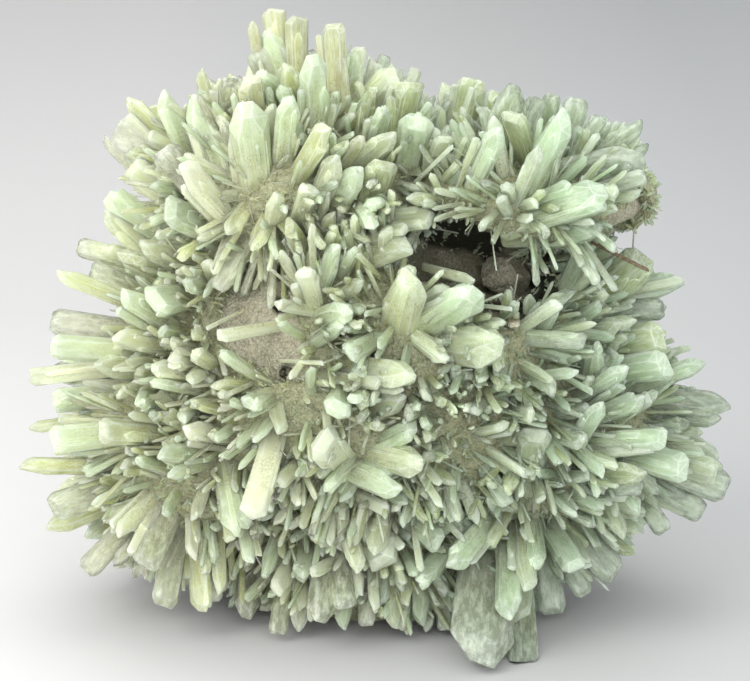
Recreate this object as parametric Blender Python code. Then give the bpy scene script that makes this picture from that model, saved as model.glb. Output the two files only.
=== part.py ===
"""A gypsum specimen: sprays of green selenite blades grown all round a lumpy piece of grey host rock.

Metres, +Z up, +X to the right and +Y away from the front. The origin is the middle of the flat spot
that the specimen rests on. Blades on the front are placed in the plane of the front view, in
millimetres right of and above its middle, because that is how such a specimen is described.
"""

import math
import random

import bmesh
import bpy
from mathutils import Matrix, Vector, noise

MM = 0.001

# The front view: where it is seen from.
VIEW_ELEVATION = math.radians(15)
VIEW_DISTANCE = 800 * MM
VIEW_MIDDLE = Vector((0, 0, 70 * MM))
TO_RIGHT = Vector((1, 0, 0))
TO_TOP = Vector((0, math.sin(VIEW_ELEVATION), math.cos(VIEW_ELEVATION)))
TO_VIEWER = Vector((0, -math.cos(VIEW_ELEVATION), math.sin(VIEW_ELEVATION)))

# The host rock: lumps grown together, as (middle, radii), with a hollow in front.
LUMPS = {
    "main": (Vector((0, 2, 66)) * MM, Vector((54, 38, 44)) * MM),
    "top": (Vector((-17, 2, 108)) * MM, Vector((29, 25, 19)) * MM),
    "ledge": (Vector((37, 0, 108)) * MM, Vector((30, 28, 9)) * MM),
    "left_low": (Vector((-36, 2, 42)) * MM, Vector((29, 27, 25)) * MM),
    "right_low": (Vector((36, 2, 48)) * MM, Vector((31, 27, 25)) * MM),
    "foot": (Vector((0, 3, 21)) * MM, Vector((32, 27, 27)) * MM),
}
HOLLOW_MIDDLE = Vector((25, -26, 96)) * MM
HOLLOW_RADII = Vector((19, 24, 10)) * MM
HOLLOW_TILT = math.radians(-14)
HOLLOW_SLOPE = math.radians(14)
HOLLOW_TURN = Matrix.Rotation(HOLLOW_TILT, 3, "X") @ Matrix.Rotation(HOLLOW_SLOPE, 3, "Y")
LUMP_SIZE = 22 * MM
LUMP_HEIGHT = 3.0 * MM

# The crust of fine crystals that the blades grow from, and the spot where it leaves the rock bare.
CRUST_THICKNESS = 4.5 * MM
PATCH_AT = (-30, 4.5)
PATCH_RADIUS = 12 * MM

# Crystals and how they meet.
GAP = 0.3 * MM
ROOT_LENGTH = 5 * MM
LEAST_SOLID_WIDTH = 5.2
LEAST_RIM_WIDTH = 3.6
LEAST_SIX_SIDED_WIDTH = 8.8
FLATNESS = (0.38, 0.6)
SHORTEST = 9 * MM
SHORTER = 0.93

# A front blade's true length, in millimetres, from its width, and how far it stands forward or aside.
LONGEST = 30
LENGTH_TO_WIDTH = 3.2
SHORTEST_TRUE = 9
FORWARD_SCALE = 1.25
FORWARD_START = 2
SIDEWAYS_LEAN = 0.3
SIDEWAYS_SHIFT = 9 * MM

# The front view's outline, as shares of how far the tips reach, and how it falls between two of them.
RIM_SHARE = 0.9
OUTLINE_SHARE = 0.98
OUTLINE_FALL = 0.6

CLEAR_OF_FLOOR = 0.4 * MM
LOWEST_TIP = 2.0 * MM
FLOOR_STEP = 2.0 * MM
FLOOR_STEPS = 24
BIG = 0.4

# Sprays of blades on the sides, the back and the top that the front view doesn't show.
HIDDEN_SPACING = 27 * MM
HIDDEN_BLADES = 5
HIDDEN_LENGTHS = (21, 31)
HIDDEN_WIDTHS = (6.0, 10.0)
HIDDEN_ROOT_SPREAD = 10
HIDDEN_LEAN = math.radians(50)
HIDDEN_FACING = 0.06
HIDDEN_TOP = 0.8

# Blades that fill what the front's own blades leave bare, on a grid in the view.
FILL_SPACING = 10.5
FILL_CLEAR = 6.8 * MM
FILL_LENGTHS = (13, 20)
FILL_WIDTHS = (4.2, 6.6)
FILL_FACING = 0.3
SPRAY_FOCI = [
    (-30, 38), (-18, 56), (6, 44), (36, 38), (-50, 24), (-54, 4), (-58, -20), (-50, -38), (-34, -26),
    (-16, 7), (-20, -14), (8, 8), (36, 0), (54, 4), (62, -22), (-2, -28), (-22, -48), (4, -44),
    (40, -42), (42, -18), (22, -26),
]

# Blades read off the front view, in millimetres: tip right and up, root right and up, width, how the
# end is formed, tone, and, where the blade points well out of the view, how far its tip stands forward.
FRONT_BLADES = [
    # Crown, left of the top
    (-33, 61.5, -30, 38, 10, "chisel", "mint"),
    (-46.5, 63, -37, 34, 7.5, "leaf", "mint"),
    (-21.5, 62.5, -24, 43, 6.5, "leaf", "mint"),
    (-26.5, 60.5, -27, 44, 3.6, "leaf", "pale"),
    (-32, 67, -30, 52, 6.5, "broken", "sandy"),
    (-12, 55, -21, 40, 6.5, "leaf", "olive"),
    (-9.5, 47.5, -17, 29, 6.5, "leaf", "pale"),
    (-3, 52.5, -13, 37, 4, "chisel", "sandy"),
    (-16.5, 39, -21, 27, 5.5, "broken", "pale"),
    (-25, 37.5, -27, 27, 5, "leaf", "pale"),
    (-44.5, 69.5, -42, 50, 4, "leaf", "olive"),
    (-36, 67, -37, 50, 8, "blunt", "clear"),
    # Left shoulder
    (-54.5, 64, -46, 40, 6.5, "leaf", "mint"),
    (-63.5, 62, -51, 44, 4.6, "leaf", "olive"),
    (-64, 57, -50, 39, 6.5, "leaf", "mint"),
    (-66.5, 54, -54, 40, 9, "blunt", "clear"),
    (-69.5, 52, -64, 38, 3.6, "leaf", "clear"),
    (-62.5, 44.5, -47, 29, 8, "blunt", "pale"),
    (-69, 37.5, -49, 20, 9.5, "chisel", "mint"),
    (-54.5, 49, -40, 32, 8, "blunt", "clear"),
    (-49.5, 45.5, -37, 29, 7, "leaf", "white", 16),
    (-52.5, 42, -46, 32, 3.6, "leaf", "pale"),
    (-53.5, 33.5, -38, 27, 9, "blunt", "mint", 15),
    (-60.5, 24.5, -42, 21, 7, "leaf", "pale"),
    (-46, 28.5, -40, 30, 3, "blunt", "white", 9),
    (-76, 24, -58, 21, 5.5, "blunt", "clear"),
    (-69.5, 33, -56, 17, 6, "leaf", "pale"),
    (-81.5, 17.5, -62, 7, 4.8, "leaf", "olive"),
    (-73, 18, -56, 9, 7.5, "blunt", "clear"),
    (-65, 12.5, -50, 2, 6, "leaf", "mint", 15),
    (-57, 10, -45, 12, 9, "blunt", "mint", 18),
    (-48.5, 15, -41, 13, 5.5, "leaf", "mint", 14),
    (-34.5, 11, -41, 18, 3.5, "chisel", "pale", 6),
    # Left flank
    (-83, 5, -62, 2, 7.5, "blunt", "clear"),
    (-83, -1.5, -60, -3, 7, "blunt", "mint"),
    (-88.5, -9.5, -72, -6, 5.5, "broken", "white"),
    (-67, 1, -50, -1, 5.5, "leaf", "pale", 12),
    (-72, -6, -54, -8, 6.5, "leaf", "pale"),
    (-82.5, -15.5, -58, -13, 7.5, "blunt", "mint"),
    (-88.5, -22.5, -64, -18, 3.6, "leaf", "olive"),
    (-83, -25.5, -58, -23, 7.5, "blunt", "mint"),
    (-70.5, -23, -52, -24, 7, "blunt", "pale", 14),
    (-91, -32, -62, -32, 4.8, "leaf", "olive"),
    (-83, -43, -60, -35, 8, "blunt", "clear"),
    (-84, -48, -60, -38, 6.5, "leaf", "olive"),
    (-60.5, -16, -53, -13, 5.8, "leaf", "mint", 17),
    (-49, -21, -45, -12, 4.6, "leaf", "mint", 13),
    (-52, -5, -45, -4, 6.5, "leaf", "white", 12),
    (-47, -11, -42, -5, 5, "leaf", "pale", 12),
    # Left centre, pointing forward
    (-49, -22.5, -36, -25, 5.5, "leaf", "white", 14),
    (-55.5, -29.5, -39, -27, 5, "leaf", "mint", 16),
    (-53, -34.5, -39, -30, 4.2, "leaf", "mint", 13),
    (-65, -32.5, -54, -28, 3.4, "leaf", "white", 9),
    (-32, -16.5, -27, -13, 6.2, "blunt", "mint", 15),
    (-35, -16, -41, -10, 3, "leaf", "mint", 6),
    (-31.5, -45, -24, -19, 7, "broken", "white", 14),
    (-35, -49, -39, -29, 7.5, "chisel", "mint", 13),
    (-46.5, -46, -42, -34, 4, "leaf", "white", 9),
    # Lower left, hanging
    (-74, -59, -57, -41, 6.5, "blunt", "clear"),
    (-66, -50, -54, -38, 5, "leaf", "pale"),
    (-59, -58, -52, -42, 8, "blunt", "clear"),
    (-54, -68, -50, -46, 7.5, "blunt", "clear"),
    (-44, -70, -46, -44, 6.2, "chisel", "olive"),
    (-39.5, -65, -40, -44, 4.2, "leaf", "olive"),
    (-33, -71.5, -31, -50, 7.5, "chisel", "clear"),
    (-31.5, -57, -35, -40, 4.2, "leaf", "mint", 12),
    (-28.5, -60.5, -22, -43, 4.4, "leaf", "mint"),
    (-25, -67, -24, -50, 4, "leaf", "olive", -4),
    (-19.5, -74.5, -18, -52, 4.8, "leaf", "clear"),
    (-18.5, -62, -20, -44, 4.4, "leaf", "olive"),
    # Bottom centre
    (-14, -72.5, -12, -50, 8, "chisel", "clear"),
    (-7.5, -68.5, -10, -48, 6, "blunt", "clear"),
    (-11.5, -52.5, -10, -38, 2.2, "leaf", "white", 9),
    (-4, -59.5, -9, -42, 5, "leaf", "pale", 10),
    (3.5, -56.5, -5, -43, 10.5, "broken", "white", 10),
    (3.5, -43.5, -9, -37, 4.2, "blunt", "white", 10),
    (7, -38.5, -12, -31, 7, "leaf", "mint", 12),
    (8.5, -41.5, -2, -37, 3.4, "leaf", "mint", 8),
    (1.5, -68, 3, -50, 4.2, "leaf", "mint", 2),
    (8, -69, 8, -50, 5.5, "blunt", "olive", -2),
    (17, -52, 4, -42, 7, "blunt", "mint", 10),
    (11, -62, 23, -46, 6, "chisel", "mint", 16),
    (19, -58, 32, -44, 6.5, "leaf", "mint", 20),
    (15, -69, 18, -54, 7.5, "blunt", "olive", 2),
    # Centre, low
    (12.5, -32, -3, -28, 8, "chisel", "pale", 13),
    (14, -33, 29, -33, 6, "leaf", "mint", 8),
    (20, -39, 5, -39, 5, "leaf", "olive", 5),
    (19, -39.5, 31, -43, 5, "blunt", "white", 9),
    (10.5, -9.5, -11, -6, 8, "leaf", "pale", 13),
    (8, -14, -8, -21, 7, "leaf", "pale", 10),
    (11, -21.5, -4, -29, 6.5, "chisel", "mint", 12),
    (-14, -25, -6, -36, 10, "blunt", "white", 17),
    (-10, -18, -7, -12, 7.5, "blunt", "mint", 17),
    (-16.5, -7, -16, -18, 3, "leaf", "mint", 10),
    (-24, -24, -26, -12, 4.5, "leaf", "pale", 9),
    # Lower right
    (27, -83.5, 29, -45, 17, "chisel", "clear", 6),
    (34, -71.5, 34, -44, 7, "leaf", "mint", 24),
    (39.5, -75, 38, -54, 4, "blunt", "mint", -4),
    (45.5, -70, 43, -50, 7.5, "blunt", "clear", 2),
    (27, -67.5, 33, -48, 5.4, "leaf", "pale", 23),
    (54, -65, 43, -53, 5.5, "blunt", "clear"),
    (51.5, -58.5, 43, -45, 7, "blunt", "mint", 13),
    (38.5, -50.5, 40, -45, 4.4, "leaf", "white", 13),
    (41.5, -58, 40, -43, 5.4, "leaf", "mint", 18),
    (28.5, -41, 37, -42, 5, "leaf", "mint", 14),
    (69, -48, 48, -46, 5, "chisel", "pale"),
    (68, -42.5, 46, -42, 6.5, "blunt", "pale"),
    (68, -37, 46, -38, 5.5, "blunt", "clear"),
    (69.5, -34, 46, -34, 6.5, "leaf", "olive"),
    (55, -35, 44, -34, 4, "leaf", "mint", 12),
    (41, -33, 50, -36, 3.4, "leaf", "mint", 10),
    (67, -54, 48, -49, 5.5, "chisel", "olive", -3),
    (62, -60, 48, -50, 9, "blunt", "clear", -3),
    (74, -49, 66, -34, 5.5, "blunt", "clear"),
    (39, -64, 37, -44, 5.4, "leaf", "pale", 20),
    # Right
    (58, -15.5, 48, -32, 5.5, "leaf", "mint", 13),
    (56.5, -0.5, 54, -15, 6.5, "leaf", "mint", 12),
    (52, -8, 37, -9.5, 3.4, "leaf", "mint", 9),
    (64.5, -6.5, 50, -17, 5.5, "leaf", "mint", 12),
    (69, -14.5, 53, -21, 5.5, "leaf", "mint", 10),
    (75.5, -6, 54, -9, 9, "blunt", "mint"),
    (74, 1, 54, -3, 9.5, "blunt", "olive"),
    (84.5, -5.5, 62, -13, 5.2, "leaf", "mint"),
    (91, -17, 66, -13, 7.5, "leaf", "clear"),
    (88.5, -20, 64, -18, 5.5, "leaf", "clear", -4),
    (88, -30, 70, -19, 5.5, "leaf", "clear", -6),
    (90, -38, 66, -29, 9, "blunt", "clear", -6),
    (80, -33, 58, -27, 8, "blunt", "mint"),
    (74.5, -25, 52, -26, 6.5, "blunt", "mint"),
    (84, -44, 64, -35, 7, "blunt", "clear", -3),
    (32, -8, 32, -24, 4.6, "leaf", "mint", 11),
    (41, -22.5, 38, -40, 9, "blunt", "pale", 14),
    (24.5, -18, 30, -15, 4, "leaf", "white", 11),
    (20, -6, 24, -20, 5, "leaf", "mint", 10),
    # Middle right, below the hollow
    (39.5, 12, 39, 0, 3.4, "leaf", "pale", 6),
    (46.5, 10, 41, -1, 4, "leaf", "mint", 8),
    (79, 15, 56, 12, 7, "leaf", "mint"),
    (74, 8, 54, 8, 6, "blunt", "clear"),
    (53.5, 24.5, 46, 8, 5, "leaf", "mint", 10),
    (57.5, 10, 48, 1, 4.5, "leaf", "mint", 10),
    (33.5, -2, 18, -1, 12, "chisel", "pale", 13),
    (27, 13, 12, 3, 10, "chisel", "mint", 15),
    (9, 18, 6, 3, 11, "leaf", "pale", 13),
    (18.5, -5, 9, 2, 5, "leaf", "white", 12),
    (63, 5, 50, -2, 6, "leaf", "pale", 8),
    # Centre
    (-9.5, 25, -15, 10, 5.5, "leaf", "mint", 10),
    (-10.5, 33, -16, 19, 3.8, "leaf", "olive", 8),
    (-18, 18, -15, 7, 5.5, "blunt", "white", 13),
    (-25.5, 9.5, -14, 7, 3.6, "leaf", "white", 12),
    (-6, 8, -16, 5, 6.5, "chisel", "mint", 12),
    (-3, 15.5, -13, 8, 4, "leaf", "pale", 9),
    (-8, 4, -19, -3, 3.8, "leaf", "mint", 10),
    (-40, 1, -23, 4, 4, "broken", "white", 9),
    (15, 31.5, -7, 29, 6.5, "broken", "pale", 8),
    (10, 24, -9, 21, 10, "leaf", "pale", 10),
    # Top centre
    (5.5, 53, -9, 41, 5.5, "leaf", "pale", 10),
    (-3.5, 44.5, -12, 31, 6.5, "leaf", "mint", 12),
    (2.5, 46, -3, 30, 8, "blunt", "olive", 10),
    (11, 57, 8, 42, 9, "blunt", "mint", 14),
    (15.5, 60, 13, 44, 6.5, "leaf", "mint"),
    (2.5, 60, -1, 46, 5.5, "leaf", "mint"),
    (9, 66, 6, 48, 8, "blunt", "olive"),
    (2.5, 73, 2, 54, 3.8, "blunt", "clear"),
    (10.5, 69.5, 9, 54, 3.6, "blunt", "clear"),
    (25, 67, 20, 46, 9, "blunt", "olive"),
    (17.5, 66, 17, 48, 6.5, "leaf", "olive"),
    # Top
    (-4, 75, -6, 54, 4.4, "blunt", "clear"),
    (-10.5, 81, -9, 52, 6.5, "blunt", "sandy"),
    (-16, 73.5, -15, 50, 7.5, "chisel", "mint"),
    (-26, 85, -24, 60, 6.5, "broken", "sandy"),
    (-20, 83, -20, 60, 6.5, "broken", "sandy"),
    (-30.5, 74, -22, 56, 6.5, "blunt", "clear"),
    (-29.5, 68.5, -20, 54, 6.5, "leaf", "mint", 10),
    (-23, 71, -19, 54, 5.5, "leaf", "olive", 7),
    # Upper right, on the ledge
    (32, 54.5, 23, 37, 6, "leaf", "mint", 12),
    (23.5, 43.5, 14, 38, 4.4, "leaf", "mint", 9),
    (42, 49.5, 35, 33, 4.4, "leaf", "white", 13),
    (49, 59, 38, 35, 8, "leaf", "mint", 9),
    (52, 62, 45, 42, 6.5, "blunt", "clear"),
    (45.5, 63, 41, 46, 5, "blunt", "clear"),
    (36, 66, 28, 42, 8, "chisel", "clear"),
    (42, 62, 36, 43, 4.4, "blunt", "clear", -4),
    (58, 57, 48, 42, 3.8, "blunt", "clear"),
    (68.5, 56, 52, 42, 5, "leaf", "clear"),
    (69.5, 46.5, 44, 42, 9.5, "chisel", "clear"),
    (69, 42, 50, 36, 4.5, "blunt", "clear", 4),
    (60, 38.5, 37, 31, 9, "chisel", "mint", 12),
    (50, 40, 39, 35, 3.8, "leaf", "mint", 10),
    (57.5, 28, 37, 27, 9, "leaf", "mint", 10),
    (27.5, 63, 27, 46, 3.8, "blunt", "clear"),
    (32, 36.5, 35, 30, 3.4, "blunt", "white", 10),
]

FINISHES = {
    "selenite": ((0.66, 0.76, 0.60, 1.0), 0.25, 0.4),
    "host_rock": ((0.42, 0.40, 0.33, 1.0), 0.9, 0.0),
}


def clear_scene():
    for obj in list(bpy.data.objects):
        bpy.data.objects.remove(obj, do_unlink=True)


def new_collection(name):
    collection = bpy.data.collections.new(name)
    bpy.context.scene.collection.children.link(collection)
    return collection


def new_object(name, mesh, collection, material=None):
    obj = bpy.data.objects.new(name, mesh)
    collection.objects.link(obj)
    if material:
        mesh.materials.clear()
        mesh.materials.append(material)
    return obj


def new_cutter(name, mesh, collection):
    obj = new_object(name, mesh, collection)
    obj.hide_render = True
    obj.display_type = "WIRE"
    return obj


def principled(name):
    colour, roughness, transmission = FINISHES[name]
    material = bpy.data.materials.new(name)
    material.use_nodes = True
    shader = material.node_tree.nodes["Principled BSDF"]
    shader.inputs["Base Color"].default_value = colour
    shader.inputs["Roughness"].default_value = roughness
    shader.inputs["Metallic"].default_value = 0.0
    shader.inputs["Transmission Weight"].default_value = transmission
    return material


def in_view(right, up, toward):
    """The point seen at (right, up) millimetres in the front view, toward metres nearer than its middle."""
    spread = (VIEW_DISTANCE - toward) / VIEW_DISTANCE * MM
    return VIEW_MIDDLE + TO_RIGHT * (right * spread) + TO_TOP * (up * spread) + TO_VIEWER * toward


def meets_lump(start, way, middle, radii):
    """The farthest distance along a line at which it leaves a lump, and how well it meets it."""
    near = [(start[i] - middle[i]) / radii[i] for i in range(3)]
    slope = [way[i] / radii[i] for i in range(3)]
    a = sum(s * s for s in slope)
    b = sum(n * s for n, s in zip(near, slope))
    c = sum(n * n for n in near) - 1
    inside = b * b - a * c
    return (-b + math.sqrt(max(0.0, inside))) / a, inside / a


def meets_rock(start, way):
    """The farthest distance along a line at which it leaves the rock, or passes nearest to it."""
    meetings = [meets_lump(start, way, middle, radii) for middle, radii in LUMPS.values()]
    hits = [distance for distance, fit in meetings if fit > 0]
    return max(hits) if hits else max(meetings, key=lambda meeting: meeting[1])[0]


def on_rock(right, up):
    """How far toward the viewer the rock lies at (right, up) in the front view."""
    near = in_view(right, up, 0)
    way = (in_view(right, up, 10 * MM) - near).normalized()
    return meets_rock(near, way)


def nearest_lump(point):
    """How far out a point is, where 1 is on the nearest lump's surface, and that lump."""
    best = None
    for middle, radii in LUMPS.values():
        away = point - middle
        reach = math.sqrt(sum((away[i] / radii[i]) ** 2 for i in range(3)))
        if best is None or reach < best[0]:
            best = (reach, middle, radii)
    return best


def rock_normal(point):
    """Outward from the lump whose surface is nearest to the point."""
    _, middle, radii = nearest_lump(point)
    return Vector([(point[i] - middle[i]) / radii[i] ** 2 for i in range(3)]).normalized()


def back_to_rock(point):
    """A point off the rock, moved to the surface of the nearest lump."""
    reach, middle, _ = nearest_lump(point)
    return middle + (point - middle) / max(1.0, reach)


def above_floor(right, up, toward):
    """The point seen there, nearer to the viewer or higher where it would be under the surface below."""
    for step in range(FLOOR_STEPS):
        point = in_view(right, up, toward + step * FLOOR_STEP)
        if point.z > LOWEST_TIP:
            break
    point.z = max(point.z, LOWEST_TIP)
    return point


class Blade:
    """One crystal: from root to tip, with its width, its thickness and where its flat side faces."""

    def __init__(self, root, tip, width, end, tone, flat_side, draw):
        self.way = (tip - root).normalized()
        self.root = root - self.way * ROOT_LENGTH
        self.tip = tip
        self.width = width
        self.thickness = width * draw.uniform(*FLATNESS)
        self.end = end
        self.tone = tone
        self.flat_side = flat_side
        self.skew = draw.uniform(-0.32, 0.32)

    def matrix(self):
        """Local Z along the blade and local Y out of its flat side, from the root."""
        across = self.flat_side.cross(self.way).normalized()
        out = self.way.cross(across)
        turn = Matrix((across, out, self.way)).transposed()
        return Matrix.Translation(self.root) @ turn.to_4x4()


def front_blades():
    """The blades of the front view, each leaning toward the viewer as much as its true length allows."""
    draw = random.Random(11)
    for row in FRONT_BLADES:
        tip_right, tip_up, root_right, root_up, width, end, tone = row[:7]
        toward = on_rock(root_right, root_up) - 1 * MM
        facing = max(0.0, rock_normal(in_view(root_right, root_up, toward)).dot(TO_VIEWER))
        seen = math.hypot(tip_right - root_right, tip_up - root_up)
        sideways = draw.uniform(-1, 1) * (1 - facing)
        if len(row) > 7:
            forward = row[7] * FORWARD_SCALE + (FORWARD_START if row[7] > 0 else 0)
        else:
            true_length = min(LONGEST, LENGTH_TO_WIDTH * width + SHORTEST_TRUE)
            forward = math.sqrt(max(0.0, true_length ** 2 - seen ** 2)) * facing
            forward += SIDEWAYS_LEAN * seen * sideways
        toward += SIDEWAYS_SHIFT * sideways
        root = back_to_rock(in_view(root_right, root_up, toward))
        tip = above_floor(tip_right, tip_up, toward + forward * MM)
        turn = Matrix.Rotation(draw.uniform(-0.5, 0.5), 3, (tip - root).normalized())
        yield Blade(root, tip, width * MM, end, tone, turn @ TO_VIEWER, draw)


def seen_at(point):
    """Where a point is seen in the front view, in millimetres right of and above its middle."""
    away = point - VIEW_MIDDLE
    spread = VIEW_DISTANCE / (VIEW_DISTANCE - away.dot(TO_VIEWER)) / MM
    return away.dot(TO_RIGHT) * spread, away.dot(TO_TOP) * spread


def outline_reach(right, up):
    """How far the front view's outline reaches from its middle, in the direction of (right, up)."""
    angle = math.atan2(up, right)
    best = 0
    for tip_right, tip_up, *_ in FRONT_BLADES:
        turn = abs(math.remainder(math.atan2(tip_up, tip_right) - angle, 2 * math.pi))
        best = max(best, math.hypot(tip_right, tip_up) * (1 - OUTLINE_FALL * turn))
    return best


def kept_inside(root, way, length):
    """The length at which a blade stays above the surface below and inside the front view's outline."""
    while length > SHORTEST:
        tip = root + way * length
        right, up = seen_at(tip)
        if tip.z > LOWEST_TIP and math.hypot(right, up) < OUTLINE_SHARE * outline_reach(right, up):
            return length
        length *= SHORTER
    return 0


def is_bare(place, near, spacing):
    return all((place - other).length > spacing for other in near)


def hidden_sprays():
    """The middles of the sprays that the front view doesn't show, spread evenly over each lump."""
    golden = math.pi * (3 - math.sqrt(5))
    found = []
    for middle, radii in LUMPS.values():
        area = 4 * math.pi * (radii[0] * radii[1] * radii[2]) ** (2 / 3)
        count = round(9 * area / HIDDEN_SPACING ** 2)
        for i in range(count):
            height = 1 - 2 * (i + 0.5) / count
            level = math.sqrt(1 - height * height)
            way = (level * math.cos(i * golden), level * math.sin(i * golden), height)
            place = middle + Vector([way[axis] * radii[axis] for axis in range(3)])
            outward = Vector([way[axis] / radii[axis] for axis in range(3)]).normalized()
            buried = (rock_normal(place) - outward).length > 0.01
            facing = outward.dot(TO_VIEWER)
            hidden = facing < HIDDEN_FACING or (outward.z > HIDDEN_TOP and facing < 0.4)
            if hidden and not buried and outward.z > -0.8 and is_bare(place, found, HIDDEN_SPACING):
                found.append(place)
                yield place, outward


def hidden_blades():
    """Blades fanned over each hidden spray, turned by the golden angle so that they spread evenly."""
    draw = random.Random(23)
    golden = math.pi * (3 - math.sqrt(5))
    for middle, outward in hidden_sprays():
        side = outward.orthogonal().normalized()
        for i in range(HIDDEN_BLADES):
            share = math.sqrt((i + 0.5) / HIDDEN_BLADES)
            turn = Matrix.Rotation(i * golden + draw.uniform(-0.3, 0.3), 3, outward)
            spread = turn @ side
            root = middle + spread * (share * HIDDEN_ROOT_SPREAD * MM) - outward * (share * 2 * MM)
            lean = share * HIDDEN_LEAN
            way = outward * math.cos(lean) + spread * math.sin(lean)
            length = draw.uniform(*HIDDEN_LENGTHS) * (1 - 0.12 * share) * MM
            width = draw.uniform(*HIDDEN_WIDTHS) * MM
            end = draw.choice(("leaf", "leaf", "chisel", "blunt"))
            tone = draw.choice(("mint", "mint", "pale", "clear", "olive"))
            flat_side = Matrix.Rotation(draw.uniform(-0.8, 0.8), 3, way) @ outward.orthogonal()
            length = kept_inside(root, way, length)
            if length:
                width = min(width, 0.42 * length)
                yield Blade(root, root + way * length, width, end, tone, flat_side, draw)


def distance_to(blade, point):
    along = max(0.0, min((blade.tip - blade.root).length, (point - blade.root).dot(blade.way)))
    return (blade.root + blade.way * along - point).length


def in_the_open(point):
    """Whether a point on the front is clear of the bare patch and of the hollow's mouth."""
    patch = in_view(*PATCH_AT, on_rock(*PATCH_AT))
    hollow = HOLLOW_TURN.transposed() @ (point - HOLLOW_MIDDLE)
    reach = sum((hollow[i] / (HOLLOW_RADII[i] + 4 * MM)) ** 2 for i in range(3))
    return (point - patch).length > PATCH_RADIUS + 2 * MM and reach > 1


def fill_blades(others):
    """Short blades wherever the front is bare, leaning away from the middle of the nearest spray."""
    draw = random.Random(5)
    grown = list(others)
    foci = [in_view(right, up, on_rock(right, up)) for right, up in SPRAY_FOCI]
    steps = int(90 / FILL_SPACING)
    for row in range(-steps, steps + 1):
        for column in range(-steps, steps + 1):
            right = (column + 0.5 * (row % 2)) * FILL_SPACING + draw.uniform(-2, 2)
            up = row * FILL_SPACING * 0.87 + draw.uniform(-2, 2)
            root = in_view(right, up, on_rock(right, up))
            outward = rock_normal(root)
            turn = Matrix.Rotation(draw.uniform(-0.5, 0.5), 3, outward)
            length = draw.uniform(*FILL_LENGTHS) * MM
            width = draw.uniform(*FILL_WIDTHS) * MM
            end = draw.choice(("leaf", "leaf", "chisel", "blunt"))
            tone = draw.choice(("mint", "mint", "pale", "white", "olive"))
            if outward.dot(TO_VIEWER) < FILL_FACING or not in_the_open(root) or root.z < 22 * MM:
                continue
            crust = root + outward * 1.6 * CRUST_THICKNESS
            if min(distance_to(blade, crust) for blade in grown) < FILL_CLEAR:
                continue
            focus = min(foci, key=lambda place: (place - root).length)
            lean = turn @ (root - focus).normalized()
            way = (outward + lean * draw.uniform(0.25, 0.75)).normalized()
            length = kept_inside(root, way, length)
            if length:
                blade = Blade(root, root + way * length, width, end, tone, lean, draw)
                grown.append(blade)
                yield blade


def ring(height, half_width, half_thickness, six_sided):
    """The corners of a crystal's section: a flattened hexagon, or a rhomb on a small one."""
    if not six_sided:
        corners = ((half_width, 0), (0, half_thickness), (-half_width, 0), (0, -half_thickness))
    else:
        shoulder = 0.62 * half_width
        corners = (
            (half_width, 0),
            (shoulder, half_thickness),
            (-shoulder, half_thickness),
            (-half_width, 0),
            (-shoulder, -half_thickness),
            (shoulder, -half_thickness),
        )
    return [Vector((x, y, height)) for x, y in corners]


def blade_mesh(name, blade):
    """The convex hull of a blade's sections and of the ridge or point that it ends in."""
    length = (blade.tip - blade.root).length
    half, thick = blade.width / 2, blade.thickness / 2
    six_sided = blade.width >= LEAST_SIX_SIDED_WIDTH * MM
    if not six_sided:
        thick *= 1.25
    points = ring(0, 0.8 * half, 0.8 * thick, six_sided)
    if blade.end == "leaf":
        points += ring(length - min(2.4 * half, 0.42 * length), half, thick, six_sided)
        points += [Vector((0.14 * half, 0, length)), Vector((-0.14 * half, 0, length - 0.1 * half))]
    elif blade.end == "broken":
        for corner in ring(length, 0.95 * half, 0.95 * thick, six_sided):
            corner.z -= (0.5 + blade.skew) * (corner.x + half) * 0.5
            points.append(corner)
    else:
        ridge, drop = (0.42, 1.25) if blade.end == "chisel" else (0.6, 0.7)
        points += ring(length - drop * half, half, thick, six_sided)
        points += [
            Vector((ridge * half, 0, length - max(0.0, blade.skew) * half)),
            Vector((-ridge * half, 0, length + min(0.0, blade.skew) * half)),
        ]
    body = bmesh.new()
    corners = [body.verts.new(point) for point in points]
    bmesh.ops.convex_hull(body, input=corners)
    bmesh.ops.transform(body, matrix=blade.matrix(), verts=body.verts)
    bmesh.ops.recalc_face_normals(body, faces=body.faces)
    return to_mesh(name, body)


def to_mesh(name, body):
    mesh = bpy.data.meshes.new(name)
    body.to_mesh(mesh)
    body.free()
    return mesh


def lump_mesh(name, middle, radii, turn=None, grow=0.0):
    """An ellipsoid with a knobbly surface; grow moves the finished surface outward."""
    body = bmesh.new()
    bmesh.ops.create_icosphere(body, subdivisions=2, radius=1.0)
    turn = turn or Matrix.Identity(3)
    for vert in body.verts:
        place = Vector([vert.co[i] * radii[i] for i in range(3)])
        outward = Vector([vert.co[i] / radii[i] for i in range(3)]).normalized()
        knob = noise.noise((middle + place) / LUMP_SIZE) * LUMP_HEIGHT
        vert.co = middle + turn @ (place + outward * (knob + grow))
    bmesh.ops.recalc_face_normals(body, faces=body.faces)
    return to_mesh(name, body)


def ball_mesh(name, middle, radius):
    body = bmesh.new()
    bmesh.ops.create_icosphere(body, subdivisions=2, radius=radius)
    bmesh.ops.translate(body, verts=body.verts, vec=middle)
    return to_mesh(name, body)


def room_below(name, level):
    """A big block whose top is at a height."""
    body = bmesh.new()
    bmesh.ops.create_cube(body, size=BIG)
    bmesh.ops.translate(body, verts=body.verts, vec=(0, 0, level - BIG / 2))
    return to_mesh(name, body)


def boolean(obj, operation, other):
    modifier = obj.modifiers.new(operation.lower(), "BOOLEAN")
    modifier.operation = operation
    if isinstance(other, bpy.types.Collection):
        modifier.operand_type = "COLLECTION"
        modifier.collection = other
    else:
        modifier.object = other


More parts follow.
